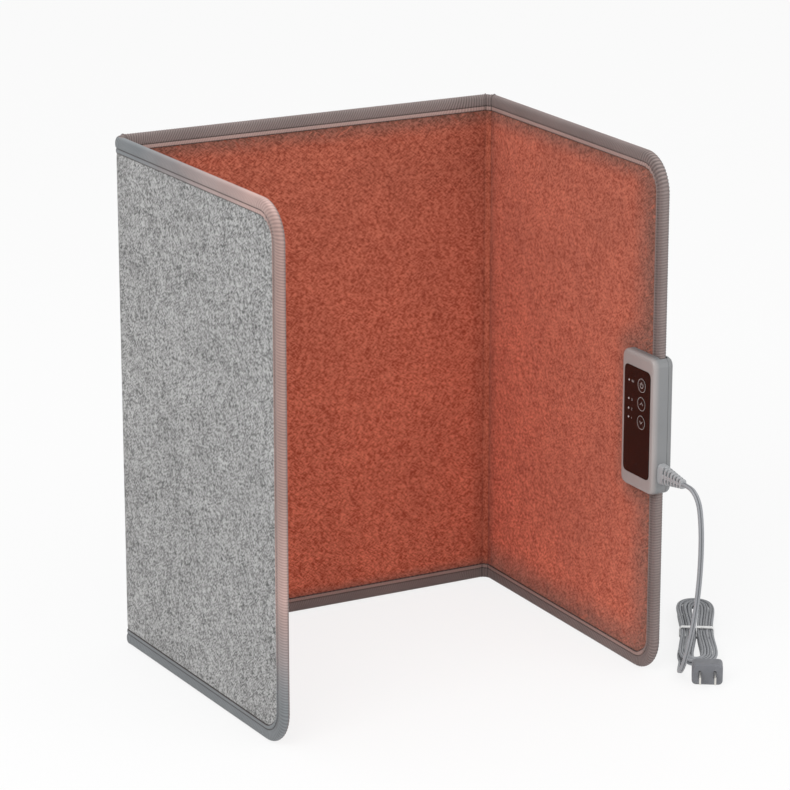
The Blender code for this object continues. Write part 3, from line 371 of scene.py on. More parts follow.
# the inner felt's last two colours are its painted shade toward the bindings and the control box
INNER = felt("inner_felt", (0.290, 0.052, 0.026), (0.650, 0.186, 0.112),
             (0.135, 0.060, 0.042), (0.350, 0.145, 0.106))
# the binding is plain grey outside; its warm and pink colours and the inner side's brown and rose are
# painted reflections of the red felt
TAPE = tape("binding_tape", (0.192, 0.203, 0.212), (0.450, 0.312, 0.283), (0.325, 0.220, 0.196),
            (0.215, 0.172, 0.163), (0.390, 0.268, 0.240))
THREAD = moulded("sewing_thread", (0.070, 0.055, 0.050), 0.7, 5200.0, 0.00008)
# the shell: a paler, warmer face of painted light and a darker body of painted shade
SHELL = plastic_with_painted_light("shell", (0.330, 0.298, 0.290), (0.196, 0.200, 0.205), 0.42)
PLATE = moulded("key_plate", (0.007, 0.005, 0.005), 0.20, 2400.0, 0.000006)
KEY = moulded("key", (0.008, 0.006, 0.006), 0.26, 2400.0, 0.000008)
PRINT = moulded("key_print", (0.42, 0.38, 0.37), 0.5)
# the groove between the cord's cores gets painted shade
CORD = moulded("cord", (0.262, 0.270, 0.286), 0.45, 900.0, 0.00005, painted_shade="groove_shade", dark=0.42)
TIE = moulded("tie", (0.86, 0.86, 0.85), 0.38)
PLUG = moulded("plug", (0.150, 0.155, 0.170), 0.45)
# the slots get painted shade
RELIEF = moulded("relief", (0.355, 0.362, 0.372), 0.48, painted_shade="slot_shade", dark=0.22)
BLADE = moulded("blade", (0.72, 0.70, 0.66), 0.25, 1800.0, 0.00001, 1.0)
CARD = moulded("board", (0.330, 0.250, 0.160), 0.9, 700.0, 0.0001)
FOIL = moulded("foil", (0.78, 0.79, 0.80), 0.3, 420.0, 0.0003, 1.0)
FILM = moulded("film", (0.022, 0.022, 0.025), 0.35, 300.0, 0.00005)
LEAD = moulded("lead", (0.62, 0.10, 0.06), 0.5)
CONNECTOR = moulded("connector", (0.70, 0.69, 0.64), 0.5)
FUSE = moulded("fuse", (0.80, 0.78, 0.72), 0.35)
CIRCUIT = moulded("circuit", (0.025, 0.180, 0.070), 0.35, 800.0, 0.00003)
SWITCH = moulded("switch", (0.035, 0.035, 0.038), 0.4)
TRIAC = moulded("triac", (0.030, 0.030, 0.032), 0.45)
TERMINAL = moulded("terminal", (0.05, 0.22, 0.10), 0.45)
SCREW = moulded("screw", (0.55, 0.55, 0.56), 0.32, 1500.0, 0.00001, 1.0)
GUIDE = moulded("light_guide", (0.50, 0.45, 0.44), 0.2)

for names, paint in (
    ("right_stiffener_board centre_stiffener_board left_stiffener_board", CARD),
    ("right_insulation_sheet centre_insulation_sheet left_insulation_sheet", FOIL),
    ("right_heating_film centre_heating_film left_heating_film", FILM),
    ("right_lead centre_lead left_lead right_fold_lead left_fold_lead", LEAD),
    ("centre_film_connector left_film_connector right_film_connector", CONNECTOR),
    ("thermal_fuse", FUSE),
    ("front_shell rear_cover", SHELL),
    ("key_plate", PLATE),
    ("power_key up_key down_key", KEY),
    ("light_guide", GUIDE),
    ("circuit_board", CIRCUIT),
    ("power_switch up_switch down_switch", SWITCH),
    ("triac", TRIAC),
    ("terminal_block", TERMINAL),
    ("clamp_screw_1 clamp_screw_2", SCREW),
    ("strain_relief", RELIEF),
    ("hank_tie", TIE),
    ("plug_body", PLUG),
    ("plug_blade_1 plug_blade_2", BLADE),
):
    for name in names.split():
        nodes[name].data.materials.clear()
        nodes[name].data.materials.append(paint)

# ---- Camera ----
FOCAL = 3452.8 / 790  # focal length and frame, both in the photo's pixels
SENSOR = 36.0
CAMERA_AT = (-1.31659, -2.44478, 1.06719)
azimuth, elevation = math.radians(-28.3667), math.radians(16.6593)
level = math.cos(elevation)
ahead = np.array([-math.sin(azimuth) * level, math.cos(azimuth) * level, -math.sin(elevation)])
across = np.array([math.cos(azimuth), math.sin(azimuth), 0.0])
upward = np.cross(across, ahead)
camera = bpy.data.objects.new("camera", bpy.data.cameras.new("camera"))
camera.data.sensor_width = SENSOR
camera.data.lens = FOCAL * SENSOR
camera.data.clip_end = 50.0
turned = np.eye(4)
turned[:3, 0], turned[:3, 1], turned[:3, 2] = across, upward, -ahead
turned[:3, 3] = CAMERA_AT
camera.matrix_world = Matrix(turned.tolist())
bpy.context.scene.collection.objects.link(camera)
bpy.context.scene.camera = camera

# ---- Cord ----
# The route follows the round cord of the solids. The cord that shows is two cores of
# radius CORE beside each other. Places are in the right panel's own frame.
CORD_SOLID = 0.0040
CORD_WIDE = 0.0046
CORE = 0.0014
WEB = 0.00088
CORD_STEP = 0.0025
HANG = 0.135  # the share of the cord that hangs before the hank
EXIT = (0.3198, -0.0020, 0.182)
ROUTE = np.array([
    (0.3325, -0.0012, 0.1802), (0.3385, 0.0002, 0.1730), (0.3408, 0.0016, 0.1610),
    (0.3414, 0.0028, 0.1380), (0.3392, 0.0036, 0.1070), (0.3336, 0.0042, 0.0740),
    (0.3244, 0.0050, 0.0430), (0.3132, 0.0072, 0.0200), (0.3000, 0.0125, 0.0080),
    (0.2860, 0.0215, 0.0045),
])
HANK_CENTRE = np.array([0.2215, 0.0790, 0.0031])
HEADING = math.radians(-32.3)
ALONG = np.array([math.cos(HEADING), math.sin(HEADING), 0.0])
ASIDE = np.array([-ALONG[1], ALONG[0], 0.0])
PLUG_LEVEL = 0.00925
PLUG_LONG = 0.0255
PLUG_FACE = HANK_CENTRE * (1, 1, 0) + (0, 0, PLUG_LEVEL) + 0.1115 * ALONG + 0.0085 * ASIDE


def hank_line(fine):
    """The hank's centreline, fine points for each of the solid's.

    The innermost loop is a long oval with drawn-in sides, and every other loop runs beside
    it at a distance that grows with the turns. One run climbs to the second layer.
    """
    turn = np.arange(-51 * fine, 64 * fine + 1) / (24 * fine)
    angle = math.tau * turn + 0.3 * np.sin(2 * math.tau * turn)
    sine, cosine = np.sin(angle), np.cos(angle)
    pitch = CORD_SOLID + 0.0008
    width = pitch / 4 + 0.0080 * sine**2
    spot = np.stack([-0.066 * sine, -cosine * width], 1)
    way = np.stack([-0.066 * cosine, sine * width - 0.0160 * sine * cosine**2], 1)
    way = way / np.linalg.norm(way, axis=1)[:, None]
    spot = spot + np.stack([-way[:, 1], way[:, 0]], 1) * (np.abs(turn) * pitch)[:, None]
    climb = smooth(2 * turn + 0.5, 0, 1)
    return (HANK_CENTRE + np.outer(spot[:, 0], ALONG) + np.outer(spot[:, 1], ASIDE)
            + np.outer(climb, (0, 0, CORD_SOLID + 0.0006)))


def curve_through(route):
    """A Catmull-Rom curve through the points, 24 steps between each two."""
    held = np.vstack([2 * route[0] - route[1], route, 2 * route[-1] - route[-2]])
    t = np.linspace(0, 1, 24, endpoint=False)[None, :, None]
    a, b, c, d = (held[i:len(held) - 3 + i, None] for i in range(4))
    run = 0.5 * (2 * b + (c - a) * t + (2 * a - 5 * b + 4 * c - d) * t**2 + (3 * b - a - 3 * c + d) * t**3)
    return np.vstack([run.reshape(-1, 3), route[-1:]])


def even(line, step):
    """Points at even steps along a line."""
    run = np.concatenate([[0.0], np.cumsum(np.linalg.norm(np.diff(line, axis=0), axis=1))])
    spots = np.linspace(0.0, run[-1], round(run[-1] / step) + 1)
    return np.stack([np.interp(spots, run, line[:, k]) for k in range(3)], 1), run[-1]


hank = hank_line(6)
first_way = (hank[1] - hank[0]) / np.linalg.norm(hank[1] - hank[0])
last_way = (hank[-1] - hank[-2]) / np.linalg.norm(hank[-1] - hank[-2])
exit_point = np.array(EXIT)
supply = curve_through(np.vstack([
    exit_point, exit_point + (CORD_SOLID, 0, 0), ROUTE, hank[0] - 2 * CORD_SOLID * first_way, hank[0],
]))
neck = PLUG_FACE - PLUG_LONG * ALONG
tail = curve_through(np.vstack([
    hank[-1], hank[-1] + CORD_SOLID * last_way, neck - CORD_SOLID * ALONG, neck,
]))
local, cord_length = even(np.vstack([supply[:-1], hank, tail[1:]]), CORD_STEP)
line = place("right", local[:, 0], local[:, 1], local[:, 2])


def flat_cord(line, hang):
    """Rings of a twin-core cord: two round cores side by side, joined by a narrow web.

    The ring is width * across + thickness * over. Across starts level with the panel's
    face, turns level with the floor in the hank, and rolls gently along it.
    """
    way = np.gradient(line, axis=0)
    way = way / np.linalg.norm(way, axis=1)[:, None]
    run = np.arange(len(line)) / len(line)
    level = np.stack([way[:, 1], -way[:, 0], np.zeros(len(way))], 1)
    level = level / np.maximum(np.linalg.norm(level, axis=1), 1e-6)[:, None]
    share = smooth(run, hang * 0.55, hang * 0.95)[:, None]
    wide = (1 - share) * np.array([0.93, -0.37, 0.0]) + share * level
    wide = wide - (wide * way).sum(1)[:, None] * way
    wide = wide / np.linalg.norm(wide, axis=1)[:, None]
    over = np.cross(way, wide)
    roll = share[:, 0] * (0.30 * np.sin(run * 61.0) + 0.28 * np.sin(run * 23.0 + 1.1))
    wide, over = (wide * np.cos(roll)[:, None] + over * np.sin(roll)[:, None],
                  over * np.cos(roll)[:, None] - wide * np.sin(roll)[:, None])
    angle = np.radians(np.linspace(-118, 118, 12))
    middle = CORD_WIDE / 2 - CORE
    u, v = middle + CORE * np.cos(angle), CORE * np.sin(angle)
    u, v = np.concatenate([u, [0.0], -u, [0.0]]), np.concatenate([v, [WEB], -v, [-WEB]])
    return line[:, None] + wide[:, None] * u[None, :, None] + over[:, None] * v[None, :, None]


power_cord = mesh_of("power_cord", [(flat_cord(line, HANG), True, True)], CORD)
# painted shade in the groove where the two cores meet
groove_shade = np.concatenate([[0.6], np.zeros(10), [0.6, 1.0, 0.6], np.zeros(10), [0.6, 1.0]])
keep(power_cord, "groove_shade", np.tile(groove_shade, len(line)))
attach(power_cord, "right_panel")
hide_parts("supply_cord", "cord_hank", "cord_tail")
exit_world = place("right", *EXIT)


# ---- Tape ----
def tape_section():
    """The tape's closed section (distance in, height) and each point's outward direction.

    The outer line runs from the lip on the outer face round the edge to the lip on the
    inner face, where it lies flatter, since folded panels meet there. The inner line goes
    back along the felt. The direction is the outer line's normal, and nothing on the inner
    line.
    """
    mirrored = TAPE_HALF[::-1] * (1, -1)
    mirrored[:, 1] += np.maximum(-mirrored[:, 1] - FLAT_FROM, 0) * FLATTER
    outside = np.vstack([TAPE_HALF, mirrored])
    way = np.gradient(outside, axis=0)
    way = way / np.linalg.norm(way, axis=1)[:, None]
    direction = np.stack([way[:, 1], -way[:, 0]], 1)
    return np.vstack([outside, TAPE_INSIDE]), np.vstack([direction, np.zeros_like(TAPE_INSIDE)])


def ribbed(run, section, direction, corner, upright, turned, hand):
    """The section at each step of the run, where it lies along the run, and its ribs' phase and the
    strength of their painted highlight and shade.

    A rib is a rounded wave along the run, as long as the tape is at its lip, so that the
    ribs fan out round a corner. The rows of points follow the ribs: a point moves along the
    run by LEAN * hand times its distance round the section, and by nothing at the ends.
    Where upright is 1 the ribs fade out beside the edge, and the lip narrows. The lip
    wavers where corner is near 1.
    """
    n, y = section[:, 0][None, :], section[:, 1][None, :]
    up = upright[:, None]
    uneven = 0.05 * RIB * np.sin(run * 91)
    phase = math.tau * (run - SEAM * turned + uneven)[:, None] / RIB + 0 * n
    wave = np.cos(phase)
    wave = np.sign(wave) * np.abs(wave) ** 0.8
    lip = smooth(n, 0.0093, 0.0104)
    beside = 1 - 0.85 * up * smooth(n, 0.0042, 0.0062)
    rise = (RIB_RISE * (0.8 + 0.2 * up) + 0.00009 * corner[:, None]) * wave * (1 - 0.5 * lip) * beside
    waver = corner[:, None] * lip * np.sin(run[:, None] * math.tau / 0.0068 + np.sin(run[:, None] * 190))
    n_out = n - np.maximum(n - SEAM, 0) * 0.40 * up + direction[:, 0] * rise + 0.00050 * waver
    y_out = y + direction[:, 1] * rise + np.sign(y) * 0.00018 * np.abs(waver)
    ends = smooth(run - run[0], 0, 0.035) * smooth(run[-1] - run, 0, 0.035)
    along = run[:, None] - LEAN * (hand * ends)[:, None] * (0.6 * y + np.sign(y) * n)
    shown = (direction[:, 0] ** 2 + direction[:, 1] ** 2 > 0)[None, :]
    return n_out, y_out, along, phase, (0.78 + 0.10 * up) * beside * (1 - 0.45 * lip) * shown


def edge_line(width, start, run):
    """The outer edge from a fold along the bottom, up the free side and back: point and inward way.

    Straight, quarter circle, straight, quarter circle, straight, in the leaf's x and z.
    """
    arc = CORNER * math.pi / 2
    low, side = width - CORNER - start, HEIGHT - 2 * CORNER
    marks = np.cumsum([low, arc, side, arc])
    first, second = (run - marks[0]) / CORNER, (run - marks[2]) / CORNER
    picks = [run < mark for mark in marks]
    right, top = width - CORNER, HEIGHT - CORNER
    zero = np.zeros_like(run)
    x = np.select(picks, [
        start + run, right + CORNER * np.sin(first), zero + width, right + CORNER * np.cos(second),
    ], right - (run - marks[3]))
    z = np.select(picks, [
        zero, CORNER - CORNER * np.cos(first), CORNER + run - marks[1], top + CORNER * np.sin(second),
    ], zero + HEIGHT)
    nx = np.select(picks, [zero, -np.sin(first), zero - 1, -np.cos(second)], zero)
    nz = np.select(picks, [zero + 1, np.cos(first), zero, -np.sin(second)], zero - 1)
    return x, z, nx, nz, marks


SECTION, DIRECTION = tape_section()


def finish_tape(piece, y, phase, strength, painted_warm_light_and_shade=0.0, upright=0.0, crease_shade=0.0, turn_over=0.0004):
    """Marks the ribs' painted highlight and shade, the seam and the lip's edge with painted shade at the
    creases, the lip, the rim's painted highlight, the inner side and the painted warm light.

    Where upright is 1 the two dark lines break into dots between the ribs. The inner side
    begins where the section is turn_over behind the middle.
    """
    n = SECTION[:, 0][None, :]
    lip = smooth(n, 0.0095, 0.0104)
    dots = 1 - upright * (0.5 + 0.5 * np.cos(phase)) * 0.95
    dashed = 0.84 + 0.16 * np.sin(phase * 0.57 + 2 * np.sin(phase * 0.019))
    rows = np.exp(-((n - SEAM) / (0.00036 + 0.0006 * upright)) ** 2)
    rows = rows + 0.8 * upright * np.exp(-((n - SECOND_LINE) / 0.0005) ** 2)
    seam = (rows + smooth(n, 0.0130, 0.0135)) * dots * dashed
    flat = 0 * (y + phase)
    keep(piece, "phase", phase + flat)
    keep(piece, "rib", strength + flat)
    keep(piece, "seam", np.clip(seam + crease_shade, 0, 1) + flat)
    keep(piece, "painted_warm_light_and_shade", painted_warm_light_and_shade + flat)
    keep(piece, "lip", lip * (1 - 0.85 * upright) * (1 - np.clip(crease_shade, 0, 1)) + flat)
    # painted highlight along the folded edge, weaker on the uprights
    keep(piece, "rim", np.exp(-(n / 0.0010) ** 2) * (1 - 0.8 * upright) + flat)
    keep(piece, "inside", smooth(-SECTION[:, 1][None, :], turn_over, turn_over + 0.0022) + flat)


def stitches(name, leaf, spots, ways):
    """Short stitches that lie in the seam: capsules that arch a little, one for each spot.

    A spot is (x, y, z) and its way (x, z) in the leaf's frame.
    """
    along = np.linspace(-1, 1, 7)[None, :, None]
    round_it = np.linspace(0, math.tau, 6, endpoint=False)[None, None, :]
    thick = STITCH_THICK * np.sqrt(np.maximum(1 - along**4, 0.02))
    sign = np.sign(spots[:, 1])[:, None, None]
    x, y, z = (spots[:, k][:, None, None] for k in range(3))
    wx, wz = ways[:, 0][:, None, None], ways[:, 1][:, None, None]
    side = thick * np.cos(round_it)
    px = x + STITCH_HALF * along * wx - side * wz
    pz = z + STITCH_HALF * along * wz + side * wx
    py = y + sign * (0.00016 * (1 - along**2) + thick * np.sin(round_it))
    piece = mesh_of(name, [(place(leaf, px, py, pz), True, True)], THREAD)
    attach(piece, LEAVES[leaf].body)


def stitch_spots(low, high):
    """Where the stitches of a run from low to high have their middles."""
    return np.arange(low + STITCH_STEP / 2, high - 0.0012, STITCH_STEP)


def stitch_rows(name, leaf, x, z, inward):
    """Two rows of stitches on each face along an edge: in the seam and on the lip's edge."""
    for row, depth, level in (("seam", SEAM, SEAM_LEVEL), ("lip", LIP_ROW, LIP_LEVEL)):
        for face, where in ((1, "outer"), (-1, "inner")):
            spots = np.stack([x + depth * inward[0], 0 * x + face * level, z + depth * inward[1]], 1)
            stitches(f"{name}_{where}_{row}_stitches", leaf, spots, np.stack([-inward[1], inward[0]], 1))


def tape_round(name, leaf):
    """The tape round a side panel's free edges, from its crease and back, and its stitches.

    The left panel's ribs are lower, and its outer side takes painted warm light toward the free edge, a
    painted reflection of the red felt. The inner side's colour begins at the middle of its edge, and on the
    right panel at the outer face.
    """
    side = 1 if leaf == "right" else -1
    width, start = SIDE_WIDTH, REACH
    total = 2 * (width - CORNER - start) + math.pi * CORNER + HEIGHT - 2 * CORNER
    run = np.linspace(0, total, int(total / RIB * RIB_ROWS))
    marks = edge_line(width, start, run)[4]
    quarter = math.pi / 2
    turned = np.clip((run - marks[0]) / CORNER, 0, quarter) + np.clip((run - marks[2]) / CORNER, 0, quarter)
    corner = np.sin(2 * turned) ** 2
    upright = smooth(turned, 0.35, 1.25) * (1 - smooth(turned, quarter + 0.32, quarter + 1.22))
    swing = smooth(turned, 0.05, 1.50) * (1 - smooth(turned, quarter + 0.07, quarter + 1.52))
    hand = side * (1 - swing) - 0.35 * swing
    rise = DIRECTION * (0.55 if leaf == "left" else 1.0)
    n, y, along, phase, strength = ribbed(run, SECTION, rise, corner, upright, turned, hand)
    # the ribs' painted highlight and shade are weaker on the left panel and on the straight uprights
    strength = strength * (0.5 if leaf == "left" else 1 - 0.5 * (upright * (1 - corner))[:, None])
    x, z, nx, nz, _ = edge_line(width, start, along)
    px, pz = x + n * nx, z + n * nz
    piece = mesh_of(name, [(place(leaf, side * px, y, pz), True, True)], TAPE)
    # painted warm light on the left panel's tape, stronger toward its free top corner and on the upright
    glow = 0.0
    if leaf == "left":
        glow = smooth(px, 0.0, 0.30) * smooth(pz, 0.02, 0.24) * (1 + upright[:, None])
    turn_over = 0.0004 if leaf == "left" else -0.0036
    finish_tape(piece, y, phase, strength, glow, upright[:, None], 0.0, turn_over)
    spaced = stitch_spots(0.0, total)
    sx, sz, ix, iz, _ = edge_line(width, start, spaced)
    level = (spaced < marks[0] + 0.012) | (spaced > marks[3] - 0.012)
    stitch_rows(leaf, leaf, side * sx[level], sz[level], (side * ix[level], iz[level]))
    return piece, total


def tape_straight(name, at_top):
    """The tape along the top or the bottom of the centre panel, and its stitches."""
    leaf = "centre"
    low, high = LEAVES[leaf].low + REACH, LEAVES[leaf].high - REACH
    x = np.linspace(low, high, int((high - low) / RIB * RIB_ROWS))
    hand = 0 * x + (-1 if at_top else 1)
    n, y, along, phase, strength = ribbed(x, SECTION, DIRECTION, 0 * x, 0 * x, 0 * x, hand)
    z = HEIGHT - n if at_top else n
    piece = mesh_of(name, [(place(leaf, along, y, z), True, True)], TAPE)
    finish_tape(piece, y, phase, strength, turn_over=INNER_FROM)
    spaced = stitch_spots(low, high)
    row, edge, inward = ("top", HEIGHT, -1) if at_top else ("bottom", 0.0, 1)
    stitch_rows(f"{leaf}_{row}", leaf, spaced, 0 * spaced + edge, (0 * spaced, 0 * spaced + inward))
    return piece, high - low


def turns_of(crease):
    """The turns of a crease's two leaves, in radians."""
    return [math.radians(LEAVES[leaf].turn) for leaf in CREASES[crease][1:]]


def reaches_of(crease):
    """How far a crease's own pieces reach along its two leaves: half a fold strip, or REACH on a panel."""
    return [FOLD / 2 if "fold" in leaf else REACH for leaf in CREASES[crease][1:]]


def crease_points(crease, a, y):
    """Where a crease's skin lies: a from -1 on the second leaf to 1 on the first, y its height.

    Outside, the skin follows each leaf and an arc round the hinge between them. Inside, the
    two leaves' skins meet in a mitre.
    """
    ox, oy = CREASES[crease].hinge
    turns = turns_of(crease)
    half, middle = (turns[1] - turns[0]) / 2, (turns[0] + turns[1]) / 2
    reach = np.where(a > 0, *reaches_of(crease))
    sign = np.where(a > 0, 1.0, -1.0)
    side = np.where(a > 0, turns[0], turns[1])
    arc = np.maximum(y, 0) * half
    along = np.abs(a) * (reach + arc)
    round_arc = middle - sign * np.minimum(along / np.maximum(y, 1e-9), half)
    bent = np.where(y > 0, round_arc, side) + math.pi / 2
    mitre = np.maximum(-y, 0) * math.tan(half)
    out = np.where(y > 0, np.maximum(along - arc, 0), mitre + np.abs(a) * (reach - mitre))
    return (ox + y * np.cos(bent) + sign * out * np.cos(side),
            oy + y * np.sin(bent) + sign * out * np.sin(side))


def bend(piece):
    """Bakes a crease's piece's placement into its mesh."""
    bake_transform(piece)


def tape_crease(name, crease, at_top):
    """The tape across a crease, pinched at the hinge, where it stands up in a low peak."""
    spans = reaches_of(crease)
    a = np.concatenate([np.linspace(-1, 0, 26)[:-1], np.linspace(0, 1, 26)])
    run = np.where(a > 0, a * spans[0], a * spans[1])
    n, y, _, phase, strength = ribbed(run, SECTION, DIRECTION, 0 * run, 0 * run, 0 * run, 0 * run)
    pinch = np.exp(-(run / 0.0007) ** 2)[:, None]
    y = np.where(y < 0, y * (1 - 0.12 * pinch), y * (1 - 0.04 * pinch))
    n = n - 0.0006 * pinch * (1 - smooth(n, 0.0, 0.004))
    x, yy = crease_points(crease, a[:, None] + 0 * n, y)
    z = HEIGHT - n if at_top else np.maximum(n, 0.0)
    piece = mesh_of(name, [(np.stack([x, yy, z], -1), True, True)], TAPE)
    # painted shade across the tape at the hinge: narrow and dark at the side creases, softer and wider at
    # the centre's
    deep, wide = (0.30, 0.0016) if "centre" in crease else (0.62, 0.0007)
    dark = deep * np.exp(-(run / wide) ** 2)[:, None] * (y < 0.001)
    finish_tape(piece, y, phase, strength, crease_shade=dark, turn_over=INNER_FROM)
    return piece


# ---- Felt ----
# Heights off the panel's middle: beside the tape, what it gains in the open, and its
# back. Then the rows up a sheet, and the waves, each a length and a rise.
TUCKED = 0.00262
FULLER = 0.00062
FELT_BACK = 0.0015
FELT_ROWS = 151
FELT_WAVES = ((0.09, 0.00010), (0.045, 0.00008), (0.021, 0.00005), (0.009, 0.00003), (0.0052, 0.00003))


def felt_height(depth_in, calm, seed, x, z):
    """The felt's height off the middle: tucked low beside the tape, then full, in low waves.

    The waves are a sum of sines of fixed, seeded lengths and directions. They fade to
    nothing where calm is 0.
    """
    pick = np.random.default_rng(seed)
    height = TUCKED + FULLER * smooth(depth_in, 0.0128, 0.0175)
    waves = np.zeros_like(x)
    for length, rise in FELT_WAVES:
        for _ in range(3):
            heading, start = pick.uniform(0, math.tau, 2)
            across_wave = x * math.cos(heading) + z * math.sin(heading)
            waves = waves + rise * np.sin(math.tau / length * across_wave + start)
    return height + waves * smooth(depth_in, 0.013, 0.030) * calm


def slab(name, front, back, material):
    """A closed sheet between two grids of points of the same size."""
    return mesh_of(name, [(np.concatenate([front, back[:, ::-1]], 1), True, True)], material)


def inset_of(x, z):
    """The distance in from a side panel's edge, with its two round corners."""
    plain = np.minimum(np.minimum(z, HEIGHT - z), SIDE_WIDTH - x)
    dx, dz = x - (SIDE_WIDTH - CORNER), np.maximum(CORNER - z, z - (HEIGHT - CORNER))
    return np.where((dx > 0) & (dz > 0), CORNER - np.hypot(dx, dz), plain)


def panel_grid(leaf):
    """Columns across a panel and rows up it, shaped to its round corners under the tape.

    It also gives each point's distance in from the bound edge, and -1 where x runs backward.
    """
    if leaf == "centre":
        x = np.linspace(LEAVES[leaf].low + REACH, LEAVES[leaf].high - REACH, 118)[:, None]
        foot = UNDER_TAPE + 0 * x
    else:
        radius = CORNER - UNDER_TAPE
        flat = np.linspace(REACH, SIDE_WIDTH - CORNER, 86)
        turned = np.linspace(0, math.pi / 2, 16)[1:]
        x = np.concatenate([flat, SIDE_WIDTH - CORNER + radius * np.sin(turned)])[:, None]
        foot = np.concatenate([UNDER_TAPE + 0 * flat, CORNER - radius * np.cos(turned)])[:, None]
    up = np.linspace(0, 1, FELT_ROWS)[None, :]
    z = foot + up * (HEIGHT - 2 * foot)
    x = x + 0 * z
    inset = np.minimum(z, HEIGHT - z) if leaf == "centre" else inset_of(x, z)
    return x, z, inset, -1 if leaf == "left" else 1


def cloth(piece, x, z, seed):
    """Marks where each point of a sheet lies in its flat cloth: across, up, and the cut's own number."""
    spot = np.stack(np.broadcast_arrays(x, z, seed * 0.1), -1)
    keep(piece, "flat", np.concatenate([spot, spot[:, ::-1]], 1))


def keep_painted_light(piece, painted_warm_light_and_shade, fold):
    """Keeps a sheet's two numbers of painted light and shade, the same on its front and its back."""
    keep(piece, "painted_warm_light_and_shade", np.concatenate([painted_warm_light_and_shade, painted_warm_light_and_shade[:, ::-1]], 1))
    keep(piece, "fold", np.concatenate([fold, fold[:, ::-1]], 1))


def top_shade(z):
    """How much painted shade darkens the inner felt toward its top."""
    return 0.17 * smooth(z, 0.16, 0.42)


def panel_felt(name, leaf, outer, seed):
    """One face of felt on a panel.

    On the inner face the painted warm light number falls near the bindings and beside the control box,
    which paints shade there, and the fold number paints shade on the top and by the creases and paints
    light on the foot.
    """
    x, z, inset, side = panel_grid(leaf)
    face = 1 if outer else -1
    from_fold = np.minimum(-x, x + CENTRE_WIDTH) if leaf == "centre" else x
    calm = smooth(from_fold, REACH, 0.030)
    height = felt_height(inset, calm, seed, x, z)
    front, back = (place(leaf, side * x, face * y, z) for y in (height, FELT_BACK))
    piece = slab(name, front, back, OUTER if outer else INNER)
    cloth(piece, x, z, seed)
    if not outer:
        # painted shade near the top and bottom bindings, the free edge and beside the control box
        painted_warm_light_and_shade = smooth(HEIGHT - z, 0.010, 0.034) * smooth(z, 0.008, 0.026 if leaf == "centre" else 0.050)
        if leaf != "centre":
            painted_warm_light_and_shade = painted_warm_light_and_shade * smooth(SIDE_WIDTH - x, 0.006, 0.055)
        if leaf == "right":
            past = np.maximum(np.maximum(BOX[1] - z, z - BOX[2]), 0)
            beside = np.hypot(np.maximum(BOX[0] - x, 0), past)
            painted_warm_light_and_shade = painted_warm_light_and_shade * (0.30 + 0.70 * smooth(beside, 0.0, 0.030))
        # Painted shade and light in the fold number: darker toward the top and beside the creases, lighter
        # toward the foot.
        clear = smooth(from_fold, REACH, 0.016)
        if leaf == "centre":
            fold = top_shade(z) + 0.10 * (1 - smooth(-x, REACH, 0.020))
            fold = fold + (0.6 * z - 0.17) * clear
        else:
            share = smooth(x, 0.0, 0.20)
            low = np.minimum(1 - z / HEIGHT, 0.85)
            level = 0.10 + 0.04 * share - (0.58 - 0.37 * share) * low
            fold = top_shade(z) * (1 - clear) + level * clear
        keep_painted_light(piece, painted_warm_light_and_shade, fold)
    return piece


def crease_felt(name, crease, outer):
    """The felt across a crease: an arc outside, and inside a soft valley with a dark line of painted shade
    at the hinge, in a wider band of painted shade.
    """
    spans = reaches_of(crease)
    a = np.concatenate([-np.linspace(1, 0, 15)[:-1] ** 1.3, np.linspace(0, 1, 15) ** 1.3])[:, None]
    z = np.linspace(UNDER_TAPE, HEIGHT - UNDER_TAPE, FELT_ROWS)[None, :]
    inset = np.minimum(z, HEIGHT - z)
    run = np.where(a > 0, a * spans[0], a * spans[1])
    height = felt_height(inset, 0.0, 5, run + 0 * z, z)
    pinch = np.exp(-(run / 0.0009) ** 2)
    height = height * (1 - 0.04 * pinch)
    face = 1 if outer else -1
    a = a + 0 * z
    front = np.stack([*crease_points(crease, a, face * height), z + 0 * a], -1)
    back = np.stack([*crease_points(crease, a, face * 0.0010 + 0 * a), z + 0 * a], -1)
    piece = slab(name, front, back, OUTER if outer else INNER)
    cloth(piece, run + 0 * z, z + 0 * run, 3 + len(name))
    if not outer:
        # painted shade toward the bindings, and at the hinge a dark line in a soft wider band, with the
        # painted shade of the top
        painted_warm_light_and_shade = smooth(HEIGHT - z, 0.010, 0.034) * smooth(z, 0.008, 0.026) + 0 * a
        deep, soft = (0.03, 0.18) if "centre" in crease else (0.15, 0.16)
        fold = deep * np.exp(-(run / 0.0010) ** 2) + soft * np.exp(-(run / 0.0050) ** 2)
        keep_painted_light(piece, painted_warm_light_and_shade, fold + top_shade(z) + 0 * a)
    return piece


def sheet(solid):
    """Hides the solid that a piece of cloth stands for."""
    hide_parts(solid)


for leaf, seed in (("right", 11), ("centre", 23), ("left", 37)):
    for face in ("outer", "inner"):
        piece = panel_felt(f"{leaf}_{face}_felt_skin", leaf, face == "outer", seed + len(face))
        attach(piece, LEAVES[leaf].body)
        sheet(f"{leaf}_{face}_felt")

for leaf in ("right", "left"):
    piece, length = tape_round(f"{leaf}_ribbed_binding", leaf)
    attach(piece, LEAVES[leaf].body)
    sheet(f"{leaf}_binding")
for where in ("top", "bottom"):
    piece, length = tape_straight(f"centre_{where}_ribbed_binding", where == "top")
    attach(piece, "centre_panel")
    sheet(f"centre_{where}_binding")

